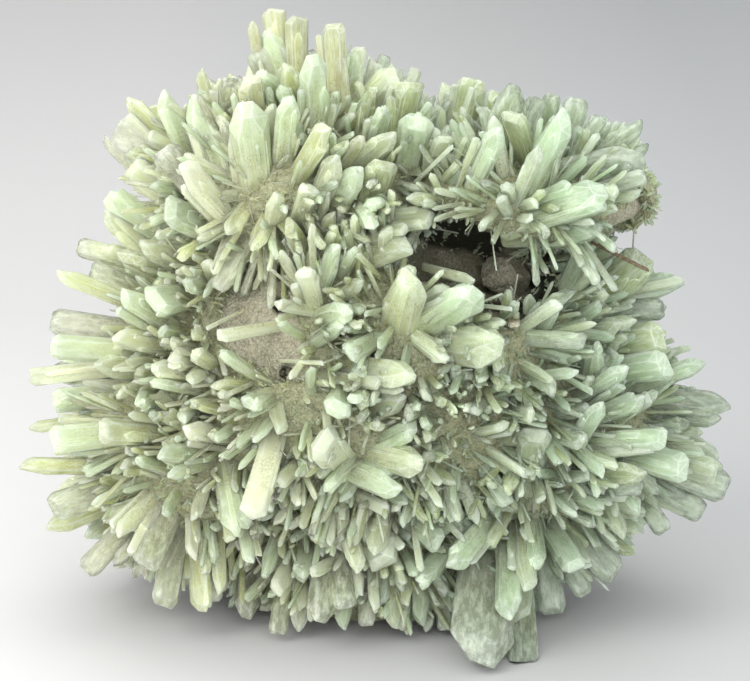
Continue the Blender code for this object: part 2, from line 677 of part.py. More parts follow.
def finished(obj):
    """Replaces an object's modifiers with the mesh that they make."""
    bpy.context.view_layer.update()
    evaluated = obj.evaluated_get(bpy.context.evaluated_depsgraph_get())
    mesh = bpy.data.meshes.new_from_object(evaluated)
    obj.modifiers.clear()
    obj.data = mesh


def keep_largest(obj):
    """Drops what the cuts left loose, so that the piece is one body."""
    body = bmesh.new()
    body.from_mesh(obj.data)
    left, groups = set(body.verts), []
    while left:
        group, reach = set(), [next(iter(left))]
        while reach:
            vert = reach.pop()
            if vert not in group:
                group.add(vert)
                reach += [edge.other_vert(vert) for edge in vert.link_edges]
        left -= group
        groups.append(group)
    groups.sort(key=len)
    loose = [vert for group in groups[:-1] for vert in group]
    bmesh.ops.delete(body, geom=loose, context="VERTS")
    body.to_mesh(obj.data)
    body.free()


def unite_lumps(name, collection, cutters, grow, material=None):
    """The lumps of the rock joined in one solid, its surface moved outward by grow."""
    meshes = [lump_mesh(lump, *form, grow=grow) for lump, form in LUMPS.items()]
    rock = new_object(name, meshes[0], collection, material)
    for mesh in meshes[1:]:
        boolean(rock, "UNION", new_cutter(f"{name}_{mesh.name}", mesh, cutters))
    return rock


def hollow_mesh(grow):
    return lump_mesh("hollow", HOLLOW_MIDDLE, HOLLOW_RADII, HOLLOW_TURN, grow)


def build_rock(name, collection, cutters, grow=0.0, material=None):
    """The host rock with its hollow and flat spot; grown a little, it keeps the crystals off it."""
    rock = unite_lumps(name, collection, cutters, grow, material)
    boolean(rock, "DIFFERENCE", new_cutter(name + "_hollow", hollow_mesh(-grow), cutters))
    boolean(rock, "DIFFERENCE", new_cutter(name + "_under", room_below("under", 0), cutters))
    finished(rock)
    keep_largest(rock)
    return rock


def build_crystals(parts, cutters, rock_room, material):
    """The crust and every blade that grows from it, joined in one solid clear of the rock."""
    crystals = unite_lumps("crystals", parts, cutters, CRUST_THICKNESS, material)
    toward = on_rock(*PATCH_AT)
    patch = ball_mesh("patch", in_view(*PATCH_AT, toward), PATCH_RADIUS)
    boolean(crystals, "DIFFERENCE", new_cutter("bare_patch", patch, cutters))
    boolean(crystals, "DIFFERENCE", new_cutter("hollow_mouth", hollow_mesh(1.5 * MM), cutters))
    group = bpy.data.collections.new("blades")
    cutters.children.link(group)
    named = list(front_blades())
    for i, blade in enumerate([*named, *fill_blades(named), *hidden_blades()]):
        right, up = seen_at(blade.tip)
        at_rim = math.hypot(right, up) > RIM_SHARE * outline_reach(right, up)
        if blade.width >= (LEAST_RIM_WIDTH if at_rim else LEAST_SOLID_WIDTH) * MM:
            new_cutter(f"blade_{i}", blade_mesh(f"blade_{i}", blade), group)
    boolean(crystals, "UNION", group)
    boolean(crystals, "DIFFERENCE", rock_room)
    floor = new_cutter("floor_room", room_below("floor_room", CLEAR_OF_FLOOR), cutters)
    boolean(crystals, "DIFFERENCE", floor)
    finished(crystals)
    keep_largest(crystals)


def main():
    clear_scene()
    parts = new_collection("gypsum_specimen")
    cutters = new_collection("cutters")
    build_rock("matrix", parts, cutters, material=principled("host_rock"))
    rock_room = build_rock("rock_room", cutters, cutters, grow=GAP * 1.6)
    rock_room.hide_render = True
    rock_room.display_type = "WIRE"
    build_crystals(parts, cutters, rock_room, principled("selenite"))


main()
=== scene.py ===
import math
import random

import bmesh
import bpy
import numpy as np
from mathutils import Matrix, Vector, noise


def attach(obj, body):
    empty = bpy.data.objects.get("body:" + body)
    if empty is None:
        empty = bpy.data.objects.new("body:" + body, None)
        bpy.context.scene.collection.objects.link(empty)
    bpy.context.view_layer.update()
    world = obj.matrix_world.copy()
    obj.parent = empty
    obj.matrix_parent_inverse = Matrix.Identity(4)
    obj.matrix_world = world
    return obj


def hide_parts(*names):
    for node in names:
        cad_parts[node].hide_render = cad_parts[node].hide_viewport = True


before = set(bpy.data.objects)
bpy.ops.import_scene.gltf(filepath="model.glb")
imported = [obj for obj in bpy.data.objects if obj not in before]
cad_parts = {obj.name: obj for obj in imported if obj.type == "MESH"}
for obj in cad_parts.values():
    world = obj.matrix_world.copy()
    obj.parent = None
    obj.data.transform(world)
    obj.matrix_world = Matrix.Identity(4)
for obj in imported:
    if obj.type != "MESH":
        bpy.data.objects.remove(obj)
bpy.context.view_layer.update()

MM = 0.001

# The front view: where it is seen from.
VIEW_ELEVATION = math.radians(15)
VIEW_DISTANCE = 800 * MM
VIEW_MIDDLE = Vector((0, 0, 70 * MM))
TO_RIGHT = Vector((1, 0, 0))
TO_TOP = Vector((0, math.sin(VIEW_ELEVATION), math.cos(VIEW_ELEVATION)))
TO_VIEWER = Vector((0, -math.cos(VIEW_ELEVATION), math.sin(VIEW_ELEVATION)))
VIEW_WIDTH = 191.25 * MM

# The host rock: lumps grown together, as (middle, radii), with a hollow in front.
LUMPS = {
    "main": (Vector((0, 2, 66)) * MM, Vector((54, 38, 44)) * MM),
    "top": (Vector((-17, 2, 108)) * MM, Vector((29, 25, 19)) * MM),
    "ledge": (Vector((37, 0, 108)) * MM, Vector((30, 28, 9)) * MM),
    "left_low": (Vector((-36, 2, 42)) * MM, Vector((29, 27, 25)) * MM),
    "right_low": (Vector((36, 2, 48)) * MM, Vector((31, 27, 25)) * MM),
    "foot": (Vector((0, 3, 21)) * MM, Vector((32, 27, 27)) * MM),
}
HOLLOW_MIDDLE = Vector((25, -26, 96)) * MM
HOLLOW_RADII = Vector((19, 24, 10)) * MM
HOLLOW_TILT = math.radians(-14)
HOLLOW_SLOPE = math.radians(14)
HOLLOW_TURN = Matrix.Rotation(HOLLOW_TILT, 3, "X") @ Matrix.Rotation(HOLLOW_SLOPE, 3, "Y")
LUMP_SIZE = 22 * MM
LUMP_HEIGHT = 3.0 * MM

# The crust of fine crystals that the blades grow from, and the spot where it leaves the rock bare.
CRUST_THICKNESS = 3.2 * MM
PATCH_AT = (-30, 4.5)
PATCH_RADIUS = 12 * MM

# Crystals.
ROOT_LENGTH = 5 * MM
LOWEST_TIP = 2.0 * MM
FLOOR_STEP = 2.0 * MM
FLOOR_STEPS = 24
LEAST_HEIGHT = 0.4 * MM
FLATNESS = (0.38, 0.6)
SHORTEST = 9 * MM
SHORTER = 0.93
LONGEST = 30
LENGTH_TO_WIDTH = 3.2
SHORTEST_TRUE = 9
FORWARD_SCALE = 1.25
FORWARD_START = 2
SIDEWAYS_LEAN = 0.3
SIDEWAYS_SHIFT = 9 * MM
OUTLINE_SHARE = 0.98
OUTLINE_FALL = 0.6
HIDDEN_SPACING = 27 * MM
HIDDEN_BLADES = 5
HIDDEN_LENGTHS = (21, 31)
HIDDEN_WIDTHS = (6.0, 10.0)
HIDDEN_ROOT_SPREAD = 10
HIDDEN_LEAN = math.radians(50)
HIDDEN_FACING = 0.06
HIDDEN_TOP = 0.8
FILL_SPACING = 10.5
FILL_CLEAR = 6.8 * MM
FILL_LENGTHS = (13, 20)
FILL_WIDTHS = (4.2, 6.6)
FILL_FACING = 0.3
FILL_STANDOFF = 1.6 * 4.5 * MM
FILL_LOWEST = 22 * MM
GOLDEN_ANGLE = math.pi * (3 - math.sqrt(5))
SPRAY_FOCI = [
    (-30, 38), (-18, 56), (6, 44), (36, 38), (-50, 24), (-54, 4), (-58, -20), (-50, -38), (-34, -26),
    (-16, 7), (-20, -14), (8, 8), (36, 0), (54, 4), (62, -22), (-2, -28), (-22, -48), (4, -44),
    (40, -42), (42, -18), (22, -26),
]

# Blades read off the front view, in millimetres: tip right and up, root right and up, width, how the
# end is formed, tone, and, where the blade points well out of the view, how far its tip stands forward.
FRONT_BLADES = [
    # Crown, left of the top
    (-33, 61.5, -30, 38, 10, "chisel", "mint"),
    (-46.5, 63, -37, 34, 7.5, "leaf", "mint"),
    (-21.5, 62.5, -24, 43, 6.5, "leaf", "mint"),
    (-26.5, 60.5, -27, 44, 3.6, "leaf", "pale"),
    (-32, 67, -30, 52, 6.5, "broken", "sandy"),
    (-12, 55, -21, 40, 6.5, "leaf", "olive"),
    (-9.5, 47.5, -17, 29, 6.5, "leaf", "pale"),
    (-3, 52.5, -13, 37, 4, "chisel", "sandy"),
    (-16.5, 39, -21, 27, 5.5, "broken", "pale"),
    (-25, 37.5, -27, 27, 5, "leaf", "pale"),
    (-44.5, 69.5, -42, 50, 4, "leaf", "olive"),
    (-36, 67, -37, 50, 8, "blunt", "clear"),
    # Left shoulder
    (-54.5, 64, -46, 40, 6.5, "leaf", "mint"),
    (-63.5, 62, -51, 44, 4.6, "leaf", "olive"),
    (-64, 57, -50, 39, 6.5, "leaf", "mint"),
    (-66.5, 54, -54, 40, 9, "blunt", "clear"),
    (-69.5, 52, -64, 38, 3.6, "leaf", "clear"),
    (-62.5, 44.5, -47, 29, 8, "blunt", "pale"),
    (-69, 37.5, -49, 20, 9.5, "chisel", "mint"),
    (-54.5, 49, -40, 32, 8, "blunt", "clear"),
    (-49.5, 45.5, -37, 29, 7, "leaf", "white", 16),
    (-52.5, 42, -46, 32, 3.6, "leaf", "pale"),
    (-53.5, 33.5, -38, 27, 9, "blunt", "mint", 15),
    (-60.5, 24.5, -42, 21, 7, "leaf", "pale"),
    (-46, 28.5, -40, 30, 3, "blunt", "white", 9),
    (-76, 24, -58, 21, 5.5, "blunt", "clear"),
    (-69.5, 33, -56, 17, 6, "leaf", "pale"),
    (-81.5, 17.5, -62, 7, 4.8, "leaf", "olive"),
    (-73, 18, -56, 9, 7.5, "blunt", "clear"),
    (-65, 12.5, -50, 2, 6, "leaf", "mint", 15),
    (-57, 10, -45, 12, 9, "blunt", "mint", 18),
    (-48.5, 15, -41, 13, 5.5, "leaf", "mint", 14),
    (-34.5, 11, -41, 18, 3.5, "chisel", "pale", 6),
    # Left flank
    (-83, 5, -62, 2, 7.5, "blunt", "clear"),
    (-83, -1.5, -60, -3, 7, "blunt", "mint"),
    (-88.5, -9.5, -72, -6, 5.5, "broken", "white"),
    (-67, 1, -50, -1, 5.5, "leaf", "pale", 12),
    (-72, -6, -54, -8, 6.5, "leaf", "pale"),
    (-82.5, -15.5, -58, -13, 7.5, "blunt", "mint"),
    (-88.5, -22.5, -64, -18, 3.6, "leaf", "olive"),
    (-83, -25.5, -58, -23, 7.5, "blunt", "mint"),
    (-70.5, -23, -52, -24, 7, "blunt", "pale", 14),
    (-91, -32, -62, -32, 4.8, "leaf", "olive"),
    (-83, -43, -60, -35, 8, "blunt", "clear"),
    (-84, -48, -60, -38, 6.5, "leaf", "olive"),
    (-60.5, -16, -53, -13, 5.8, "leaf", "mint", 17),
    (-49, -21, -45, -12, 4.6, "leaf", "mint", 13),
    (-52, -5, -45, -4, 6.5, "leaf", "white", 12),
    (-47, -11, -42, -5, 5, "leaf", "pale", 12),
    # Left centre, pointing forward
    (-49, -22.5, -36, -25, 5.5, "leaf", "white", 14),
    (-55.5, -29.5, -39, -27, 5, "leaf", "mint", 16),
    (-53, -34.5, -39, -30, 4.2, "leaf", "mint", 13),
    (-65, -32.5, -54, -28, 3.4, "leaf", "white", 9),
    (-32, -16.5, -27, -13, 6.2, "blunt", "mint", 15),
    (-35, -16, -41, -10, 3, "leaf", "mint", 6),
    (-31.5, -45, -24, -19, 7, "broken", "white", 14),
    (-35, -49, -39, -29, 7.5, "chisel", "mint", 13),
    (-46.5, -46, -42, -34, 4, "leaf", "white", 9),
    # Lower left, hanging
    (-74, -59, -57, -41, 6.5, "blunt", "clear"),
    (-66, -50, -54, -38, 5, "leaf", "pale"),
    (-59, -58, -52, -42, 8, "blunt", "clear"),
    (-54, -68, -50, -46, 7.5, "blunt", "clear"),
    (-44, -70, -46, -44, 6.2, "chisel", "olive"),
    (-39.5, -65, -40, -44, 4.2, "leaf", "olive"),
    (-33, -71.5, -31, -50, 7.5, "chisel", "clear"),
    (-31.5, -57, -35, -40, 4.2, "leaf", "mint", 12),
    (-28.5, -60.5, -22, -43, 4.4, "leaf", "mint"),
    (-25, -67, -24, -50, 4, "leaf", "olive", -4),
    (-19.5, -74.5, -18, -52, 4.8, "leaf", "clear"),
    (-18.5, -62, -20, -44, 4.4, "leaf", "olive"),
    # Bottom centre
    (-14, -72.5, -12, -50, 8, "chisel", "clear"),
    (-7.5, -68.5, -10, -48, 6, "blunt", "clear"),
    (-11.5, -52.5, -10, -38, 2.2, "leaf", "white", 9),
    (-4, -59.5, -9, -42, 5, "leaf", "pale", 10),
    (3.5, -56.5, -5, -43, 10.5, "broken", "white", 10),
    (3.5, -43.5, -9, -37, 4.2, "blunt", "white", 10),
    (7, -38.5, -12, -31, 7, "leaf", "mint", 12),
    (8.5, -41.5, -2, -37, 3.4, "leaf", "mint", 8),
    (1.5, -68, 3, -50, 4.2, "leaf", "mint", 2),
    (8, -69, 8, -50, 5.5, "blunt", "olive", -2),
    (17, -52, 4, -42, 7, "blunt", "mint", 10),
    (11, -62, 23, -46, 6, "chisel", "mint", 16),
    (19, -58, 32, -44, 6.5, "leaf", "mint", 20),
    (15, -69, 18, -54, 7.5, "blunt", "olive", 2),
    # Centre, low
    (12.5, -32, -3, -28, 8, "chisel", "pale", 13),
    (14, -33, 29, -33, 6, "leaf", "mint", 8),
    (20, -39, 5, -39, 5, "leaf", "olive", 5),
    (19, -39.5, 31, -43, 5, "blunt", "white", 9),
    (10.5, -9.5, -11, -6, 8, "leaf", "pale", 13),
    (8, -14, -8, -21, 7, "leaf", "pale", 10),
    (11, -21.5, -4, -29, 6.5, "chisel", "mint", 12),
    (-14, -25, -6, -36, 10, "blunt", "white", 17),
    (-10, -18, -7, -12, 7.5, "blunt", "mint", 17),
    (-16.5, -7, -16, -18, 3, "leaf", "mint", 10),
    (-24, -24, -26, -12, 4.5, "leaf", "pale", 9),
    # Lower right
    (27, -83.5, 29, -45, 17, "chisel", "glass", 6),
    (34, -71.5, 34, -44, 7, "leaf", "mint", 24),
    (39.5, -75, 38, -54, 4, "blunt", "mint", -4),
    (45.5, -70, 43, -50, 7.5, "blunt", "clear", 2),
    (27, -67.5, 33, -48, 5.4, "leaf", "pale", 23),
    (54, -65, 43, -53, 5.5, "blunt", "clear"),
    (51.5, -58.5, 43, -45, 7, "blunt", "mint", 13),
    (38.5, -50.5, 40, -45, 4.4, "leaf", "white", 13),
    (41.5, -58, 40, -43, 5.4, "leaf", "mint", 18),
    (28.5, -41, 37, -42, 5, "leaf", "mint", 14),
    (69, -48, 48, -46, 5, "chisel", "pale"),
    (68, -42.5, 46, -42, 6.5, "blunt", "pale"),
    (68, -37, 46, -38, 5.5, "blunt", "clear"),
    (69.5, -34, 46, -34, 6.5, "leaf", "olive"),
    (55, -35, 44, -34, 4, "leaf", "mint", 12),
    (41, -33, 50, -36, 3.4, "leaf", "mint", 10),
    (67, -54, 48, -49, 5.5, "chisel", "olive", -3),
    (62, -60, 48, -50, 9, "blunt", "clear", -3),
    (74, -49, 66, -34, 5.5, "blunt", "clear"),
    (39, -64, 37, -44, 5.4, "leaf", "pale", 20),
    # Right
    (58, -15.5, 48, -32, 5.5, "leaf", "mint", 13),
    (56.5, -0.5, 54, -15, 6.5, "leaf", "mint", 12),
    (52, -8, 37, -9.5, 3.4, "leaf", "mint", 9),
    (64.5, -6.5, 50, -17, 5.5, "leaf", "mint", 12),
    (69, -14.5, 53, -21, 5.5, "leaf", "mint", 10),
    (75.5, -6, 54, -9, 9, "blunt", "mint"),
    (74, 1, 54, -3, 9.5, "blunt", "olive"),
    (84.5, -5.5, 62, -13, 5.2, "leaf", "mint"),
    (91, -17, 66, -13, 7.5, "leaf", "clear"),
    (88.5, -20, 64, -18, 5.5, "leaf", "clear", -4),
    (88, -30, 70, -19, 5.5, "leaf", "clear", -6),
    (90, -38, 66, -29, 9, "blunt", "clear", -6),
    (80, -33, 58, -27, 8, "blunt", "mint"),
    (74.5, -25, 52, -26, 6.5, "blunt", "mint"),
    (84, -44, 64, -35, 7, "blunt", "clear", -3),
    (32, -8, 32, -24, 4.6, "leaf", "mint", 11),
    (41, -22.5, 38, -40, 9, "blunt", "pale", 14),
    (24.5, -18, 30, -15, 4, "leaf", "white", 11),
    (20, -6, 24, -20, 5, "leaf", "mint", 10),
    # Middle right, below the hollow
    (39.5, 12, 39, 0, 3.4, "leaf", "pale", 6),
    (46.5, 10, 41, -1, 4, "leaf", "mint", 8),
    (79, 15, 56, 12, 7, "leaf", "mint"),
    (74, 8, 54, 8, 6, "blunt", "clear"),
    (53.5, 24.5, 46, 8, 5, "leaf", "mint", 10),
    (57.5, 10, 48, 1, 4.5, "leaf", "mint", 10),
    (33.5, -2, 18, -1, 12, "chisel", "pale", 13),
    (27, 13, 12, 3, 10, "chisel", "mint", 15),
    (9, 18, 6, 3, 11, "leaf", "pale", 13),
    (18.5, -5, 9, 2, 5, "leaf", "white", 12),
    (63, 5, 50, -2, 6, "leaf", "pale", 8),
    # Centre
    (-9.5, 25, -15, 10, 5.5, "leaf", "mint", 10),
    (-10.5, 33, -16, 19, 3.8, "leaf", "olive", 8),
    (-18, 18, -15, 7, 5.5, "blunt", "white", 13),
    (-25.5, 9.5, -14, 7, 3.6, "leaf", "white", 12),
    (-6, 8, -16, 5, 6.5, "chisel", "mint", 12),
    (-3, 15.5, -13, 8, 4, "leaf", "pale", 9),
    (-8, 4, -19, -3, 3.8, "leaf", "mint", 10),
    (-40, 1, -23, 4, 4, "broken", "white", 9),
    (15, 31.5, -7, 29, 6.5, "broken", "pale", 8),
    (10, 24, -9, 21, 10, "leaf", "pale", 10),
    # Top centre
    (5.5, 53, -9, 41, 5.5, "leaf", "pale", 10),
    (-3.5, 44.5, -12, 31, 6.5, "leaf", "mint", 12),
    (2.5, 46, -3, 30, 8, "blunt", "olive", 10),
    (11, 57, 8, 42, 9, "blunt", "mint", 14),
    (15.5, 60, 13, 44, 6.5, "leaf", "mint"),
    (2.5, 60, -1, 46, 5.5, "leaf", "mint"),
    (9, 66, 6, 48, 8, "blunt", "olive"),
    (2.5, 73, 2, 54, 3.8, "blunt", "clear"),
    (10.5, 69.5, 9, 54, 3.6, "blunt", "clear"),
    (25, 67, 20, 46, 9, "blunt", "olive"),
    (17.5, 66, 17, 48, 6.5, "leaf", "olive"),
    # Top
    (-4, 75, -6, 54, 4.4, "blunt", "clear"),
    (-10.5, 81, -9, 52, 6.5, "blunt", "sandy"),
    (-16, 73.5, -15, 50, 7.5, "chisel", "mint"),
    (-26, 85, -24, 60, 6.5, "broken", "sandy"),
    (-20, 83, -20, 60, 6.5, "broken", "sandy"),
    (-30.5, 74, -22, 56, 6.5, "blunt", "clear"),
    (-29.5, 68.5, -20, 54, 6.5, "leaf", "mint", 10),
    (-23, 71, -19, 54, 5.5, "leaf", "olive", 7),
    # Upper right, on the ledge
    (32, 54.5, 23, 37, 6, "leaf", "mint", 12),
    (23.5, 43.5, 14, 38, 4.4, "leaf", "mint", 9),
    (42, 49.5, 35, 33, 4.4, "leaf", "white", 13),
    (49, 59, 38, 35, 8, "leaf", "mint", 9),
    (52, 62, 45, 42, 6.5, "blunt", "clear"),
    (45.5, 63, 41, 46, 5, "blunt", "clear"),
    (36, 66, 28, 42, 8, "chisel", "clear"),
    (42, 62, 36, 43, 4.4, "blunt", "clear", -4),
    (58, 57, 48, 42, 3.8, "blunt", "clear"),
    (68.5, 56, 52, 42, 5, "leaf", "clear"),
    (69.5, 46.5, 44, 42, 9.5, "chisel", "clear"),
    (69, 42, 50, 36, 4.5, "blunt", "clear", 4),
    (60, 38.5, 37, 31, 9, "chisel", "mint", 12),
    (50, 40, 39, 35, 3.8, "leaf", "mint", 10),
    (57.5, 28, 37, 27, 9, "leaf", "mint", 10),
    (27.5, 63, 27, 46, 3.8, "blunt", "clear"),
    (32, 36.5, 35, 30, 3.4, "blunt", "white", 10),
]

# Small blades, sticks and slivers of the front view, in the same form.
SMALL_BLADES = [
    # Across the bare patch and above it
    (-16.1, 30, -15.5, 9.5, 2, "leaf", "white", 12),
    (-24.6, 9.1, -16.1, 8.7, 2.8, "blunt", "white", 14),
    (-25.3, 5.3, -18.7, 7.4, 2, "leaf", "white", 13),
    (-10.6, 28.2, -14.9, 17.6, 2.5, "leaf", "pale", 12),
    (-24.6, 4.4, -17, 0.2, 3, "leaf", "mint", 13),
    (-13.2, -5.8, -24.6, -5.1, 1.3, "blunt", "white", 14),
    (-16.1, -6.8, -16.4, -14.7, 2.4, "leaf", "mint", 14),
    (-42.9, -7.9, -45.9, -14.3, 3, "leaf", "pale", 12),
    (-43, 3, -33, 8, 1.2, "blunt", "white", 10),
    (-38, -9, -41, 0, 1.6, "leaf", "white", 9),
    (-46, 4, -41, -3, 2.2, "leaf", "white", 9),
    # Centre
    (0.9, -1.9, 5.1, 4.4, 2.5, "leaf", "mint", 14),
    (-5.1, -3, -0.4, 0.9, 2, "leaf", "pale", 13),
    (7, -53, 0.5, -45, 2.5, "blunt", "white", 12),
    (-11.3, -52.4, -10.6, -41, 1.6, "leaf", "white", 12),
    (22.8, -17.7, 28, -15.5, 2.8, "leaf", "white", 12),
    (-1.5, 32, -4.7, 35.4, 0.6, "leaf", "white", 14),
    (20, 49.8, 6, 36.2, 1.3, "leaf", "white", 13),
    (12, 42, 7.5, 48, 2, "leaf", "pale", 12),
    # Round the hollow
    (25.5, 15, 15, 18, 3, "leaf", "pale", 12),
    (35, 8, 22, 9.5, 1.2, "blunt", "white", 13),
    (35.5, 3.5, 35, 9, 3.2, "blunt", "rust", 9),
    (32, 12, 36, 3, 1.8, "leaf", "white", 8),
    (40, 31, 36, 31.5, 3, "leaf", "white", 11),
    (57, 13, 52, 15, 1.5, "leaf", "white", 9),
    (60, 15.5, 56, 13, 1.5, "leaf", "white", 9),
    (44, 17, 38, 27, 1.8, "leaf", "pale", 10),
    (46, 25, 36, 22, 2.2, "blunt", "pale", 9),
    # Crown
    (-3.5, 66.4, -9.8, 60.5, 0.6, "leaf", "white", 10),
    (-0.4, 71.9, -0.4, 60, 2.5, "blunt", "clear"),
    (6.2, 69.4, 4.7, 63, 2.5, "blunt", "clear"),
    (52.7, 57.3, 52, 52, 2, "leaf", "clear"),
    # Right
    (79, 15.5, 70, 15, 3, "leaf", "pale"),
    (80, -40, 70, -38, 3, "leaf", "clear"),
    (41, -33.5, 49, -34.5, 2.8, "leaf", "mint", 13),
    (54.4, -58, 49.8, -54.1, 3, "blunt", "white", 10),
    (24.2, -67.7, 27, -58, 1.5, "leaf", "white", 12),
    (39.6, -46, 35.9, -38.8, 0.6, "leaf", "white", 14),
    (45, -48.2, 42.5, -44.7, 0.6, "leaf", "white", 14),
    (59.8, -64, 55.3, -60, 1, "leaf", "clear", 2),
    # Over the ledge's right end
    (68, 38, 54, 35, 4, "leaf", "pale", 5),
    (66, 44, 52, 39, 4.4, "blunt", "clear", 8),
    (62, 33.5, 50, 33, 3, "leaf", "pale", 9),
    (70, 50, 55, 41, 3.6, "leaf", "clear", 3),
    (64, 52, 50, 42, 3, "leaf", "pale", 6),
    (67, 46.5, 52, 41, 3.4, "leaf", "white", 9),
    (56, 30, 46, 31, 2.4, "leaf", "white", 9),
    (52, 21, 46, 28, 2, "leaf", "white", 7),
    # Hanging over the foot
    (-2, -73, -3, -55, 5, "blunt", "clear", 4),
    (5, -74, 4, -56, 4.5, "chisel", "pale", 3),
    (12, -73, 11, -57, 5, "leaf", "mint", 3),
    (-8, -74, -8, -56, 4.5, "leaf", "mint", 2),
    (18, -74, 17, -58, 4.5, "blunt", "clear", 3),
    (-25, -75, -23, -57, 5, "blunt", "clear", 1),
    (0, -69, -1, -54, 3.4, "leaf", "white", 8),
    (8, -68, 8, -52, 3.6, "leaf", "olive", 7),
]
BROWN_SPLINTER = (70, 17.7, 52, 26.2, 1.2, "leaf", "sandy", 3)

# Where else the crust is broken away, the rock's pits, which are painted dark as shade, as (right,
# up, radius), and the boulder in the hollow.
BARE_SPOTS = [(-23, -3, 8), (-27, 15.5, 7.5), (60, 31, 7), (55, 25, 7)]
LEDGE_END = (Vector((62, -13, 102)) * MM, 10.5 * MM)
PITS = [(-24, 18.5, 2.6), (-27, 19.2, 1.9), (-24.3, 8.8, 1.7), (-22.5, -8.2, 1.5), (-33, 18.7, 1.3)]
BOULDER = (Vector((33, -8, 89)) * MM, Vector((5.6, 6, 5.8)) * MM)
HOLLOW_DEEPER = 3 * MM
# The part of the hollow's wall, left of the right bound and below a sloping top, that gets less painted
# shade, as light reaches it.
LIT_WALL_LEFT, LIT_WALL_RIGHT, LIT_WALL_TOP = 8, 27.5, 26

# Small crystals that fill the room between the blades: how far apart they stand, their lengths and
# widths in millimetres, how far they lean, and the seed of their draws.
SIDE_KIND = (6.4 * MM, (12, 21), (3.0, 6.4), (0.15, 0.95), 41)
SMALL_KINDS = [
    (4.3 * MM, (9, 19), (1.4, 3.8), (0.15, 1.2), 43),
    (5.6 * MM, (12, 22), (1.4, 2.8), (0.0, 0.7), 49),
]
SLIVER_KIND = (3.6 * MM, (7, 17), (0.7, 2.1), (0.3, 2.0), 45)
SMALL_TONES = ("mint", "pale", "pale", "white", "olive", "clear", "mint")
SLIVER_TONES = ("pale", "white", "white", "mint", "clear", "pale")
NEEDLE_SPACING = 7.5 * MM
NEEDLE_LENGTHS = (10, 21)
NEEDLE_WIDTHS = (0.35, 0.8)
NEEDLE_TILT = 1.1
DRUSE_COUNT = 13000
DRUSE_HEIGHTS = (0.8, 2.6)
DRUSE_WIDTHS = (0.6, 1.5)
DRUSE_TONES = ("olive", "mint", "pale", "pale", "white")
DRUSE_TILT = 0.8

# Colour of a crystal's body near its tip and near its root, and how see-through it is, by tone.
TONES = {
    "mint": ((0.69, 0.82, 0.67), (0.72, 0.73, 0.48), 0.24),
    "pale": ((0.78, 0.83, 0.65), (0.76, 0.74, 0.50), 0.24),
    "white": ((0.88, 0.92, 0.83), (0.82, 0.82, 0.62), 0.18),
    "clear": ((0.94, 0.98, 0.92), (0.90, 0.91, 0.74), 0.62),
    "glass": ((0.93, 0.96, 0.92), (0.80, 0.79, 0.58), 0.72),
    "olive": ((0.67, 0.72, 0.46), (0.62, 0.61, 0.35), 0.24),
    "sandy": ((0.73, 0.73, 0.52), (0.66, 0.61, 0.39), 0.20),
    "rust": ((0.55, 0.36, 0.19), (0.45, 0.28, 0.13), 0.0),
}
# Multipliers of a crystal's colour from the left of the view to the right: partly a real shift to bluer
# mint, partly painted light, lighter on the left where the key falls and darker on the right.
LIT_WARM_SIDE = (1.08, 1.08, 0.81)
SHADED_COOL_SIDE = (0.83, 0.94, 0.75)

# Painted shade: the near-black laid on the rock inside the hollow and in its pits.
HOLLOW_SHADE_COLOUR = (0.035, 0.035, 0.022)
GRAIN_COLOUR = (0.38, 0.34, 0.12)
VEIL_COLOUR = (0.80, 0.88, 0.72)
FROST_AND_GLINT_COLOUR = (0.88, 0.95, 0.83)

# How a blade is formed: its root's width, how much of its width is flat, and, by how it ends, how far
# the flat sides stop short of the end and how far the end drops from middle to edge, in half widths.
ROOT_WIDTH = 0.8
FLAT_SIDE = 0.62
END_SLOPE = {"leaf": 0.5, "chisel": 0.55, "blunt": 0.4, "broken": 0.1}
END_DROP = {"leaf": 2.0, "chisel": 1.0, "blunt": 0.4, "broken": 0.4}


def in_view(right, up, toward):
    """The point seen at (right, up) millimetres in the front view, toward metres nearer than its middle."""
    spread = (VIEW_DISTANCE - toward) / VIEW_DISTANCE * MM
    return VIEW_MIDDLE + TO_RIGHT * (right * spread) + TO_TOP * (up * spread) + TO_VIEWER * toward


def seen_at(point):
    """Where a point is seen in the front view, in millimetres right of and above its middle."""
    away = point - VIEW_MIDDLE
    spread = VIEW_DISTANCE / (VIEW_DISTANCE - away.dot(TO_VIEWER)) / MM
    return away.dot(TO_RIGHT) * spread, away.dot(TO_TOP) * spread


def meets_lump(start, way, middle, radii):
    """The farthest distance along a line at which it leaves a lump, and how well it meets it."""
    near = [(start[i] - middle[i]) / radii[i] for i in range(3)]
    slope = [way[i] / radii[i] for i in range(3)]
    a = sum(s * s for s in slope)
    b = sum(n * s for n, s in zip(near, slope))
    c = sum(n * n for n in near) - 1
    inside = b * b - a * c
    return (-b + math.sqrt(max(0.0, inside))) / a, inside / a


def meets_rock(start, way):
    """The farthest distance along a line at which it leaves the rock, or passes nearest to it."""
    meetings = [meets_lump(start, way, middle, radii) for middle, radii in LUMPS.values()]
    hits = [distance for distance, fit in meetings if fit > 0]
    return max(hits) if hits else max(meetings, key=lambda meeting: meeting[1])[0]


def on_rock(right, up):
    """How far toward the viewer the rock lies at (right, up) in the front view."""
    near = in_view(right, up, 0)
    way = (in_view(right, up, 10 * MM) - near).normalized()
    return meets_rock(near, way)


def nearest_lump(point):
    """How far out a point is, where 1 is on the nearest lump's surface, and that lump."""
    best = None
    for middle, radii in LUMPS.values():
        away = point - middle
        reach = math.sqrt(sum((away[i] / radii[i]) ** 2 for i in range(3)))
        if best is None or reach < best[0]:
            best = (reach, middle, radii)
    return best


def rock_normal(point):
    """Outward from the lump whose surface is nearest to the point."""
    _, middle, radii = nearest_lump(point)
    return Vector([(point[i] - middle[i]) / radii[i] ** 2 for i in range(3)]).normalized()


def back_to_rock(point):
    """A point off the rock, moved to the surface of the nearest lump."""
    reach, middle, _ = nearest_lump(point)
    return middle + (point - middle) / max(1.0, reach)


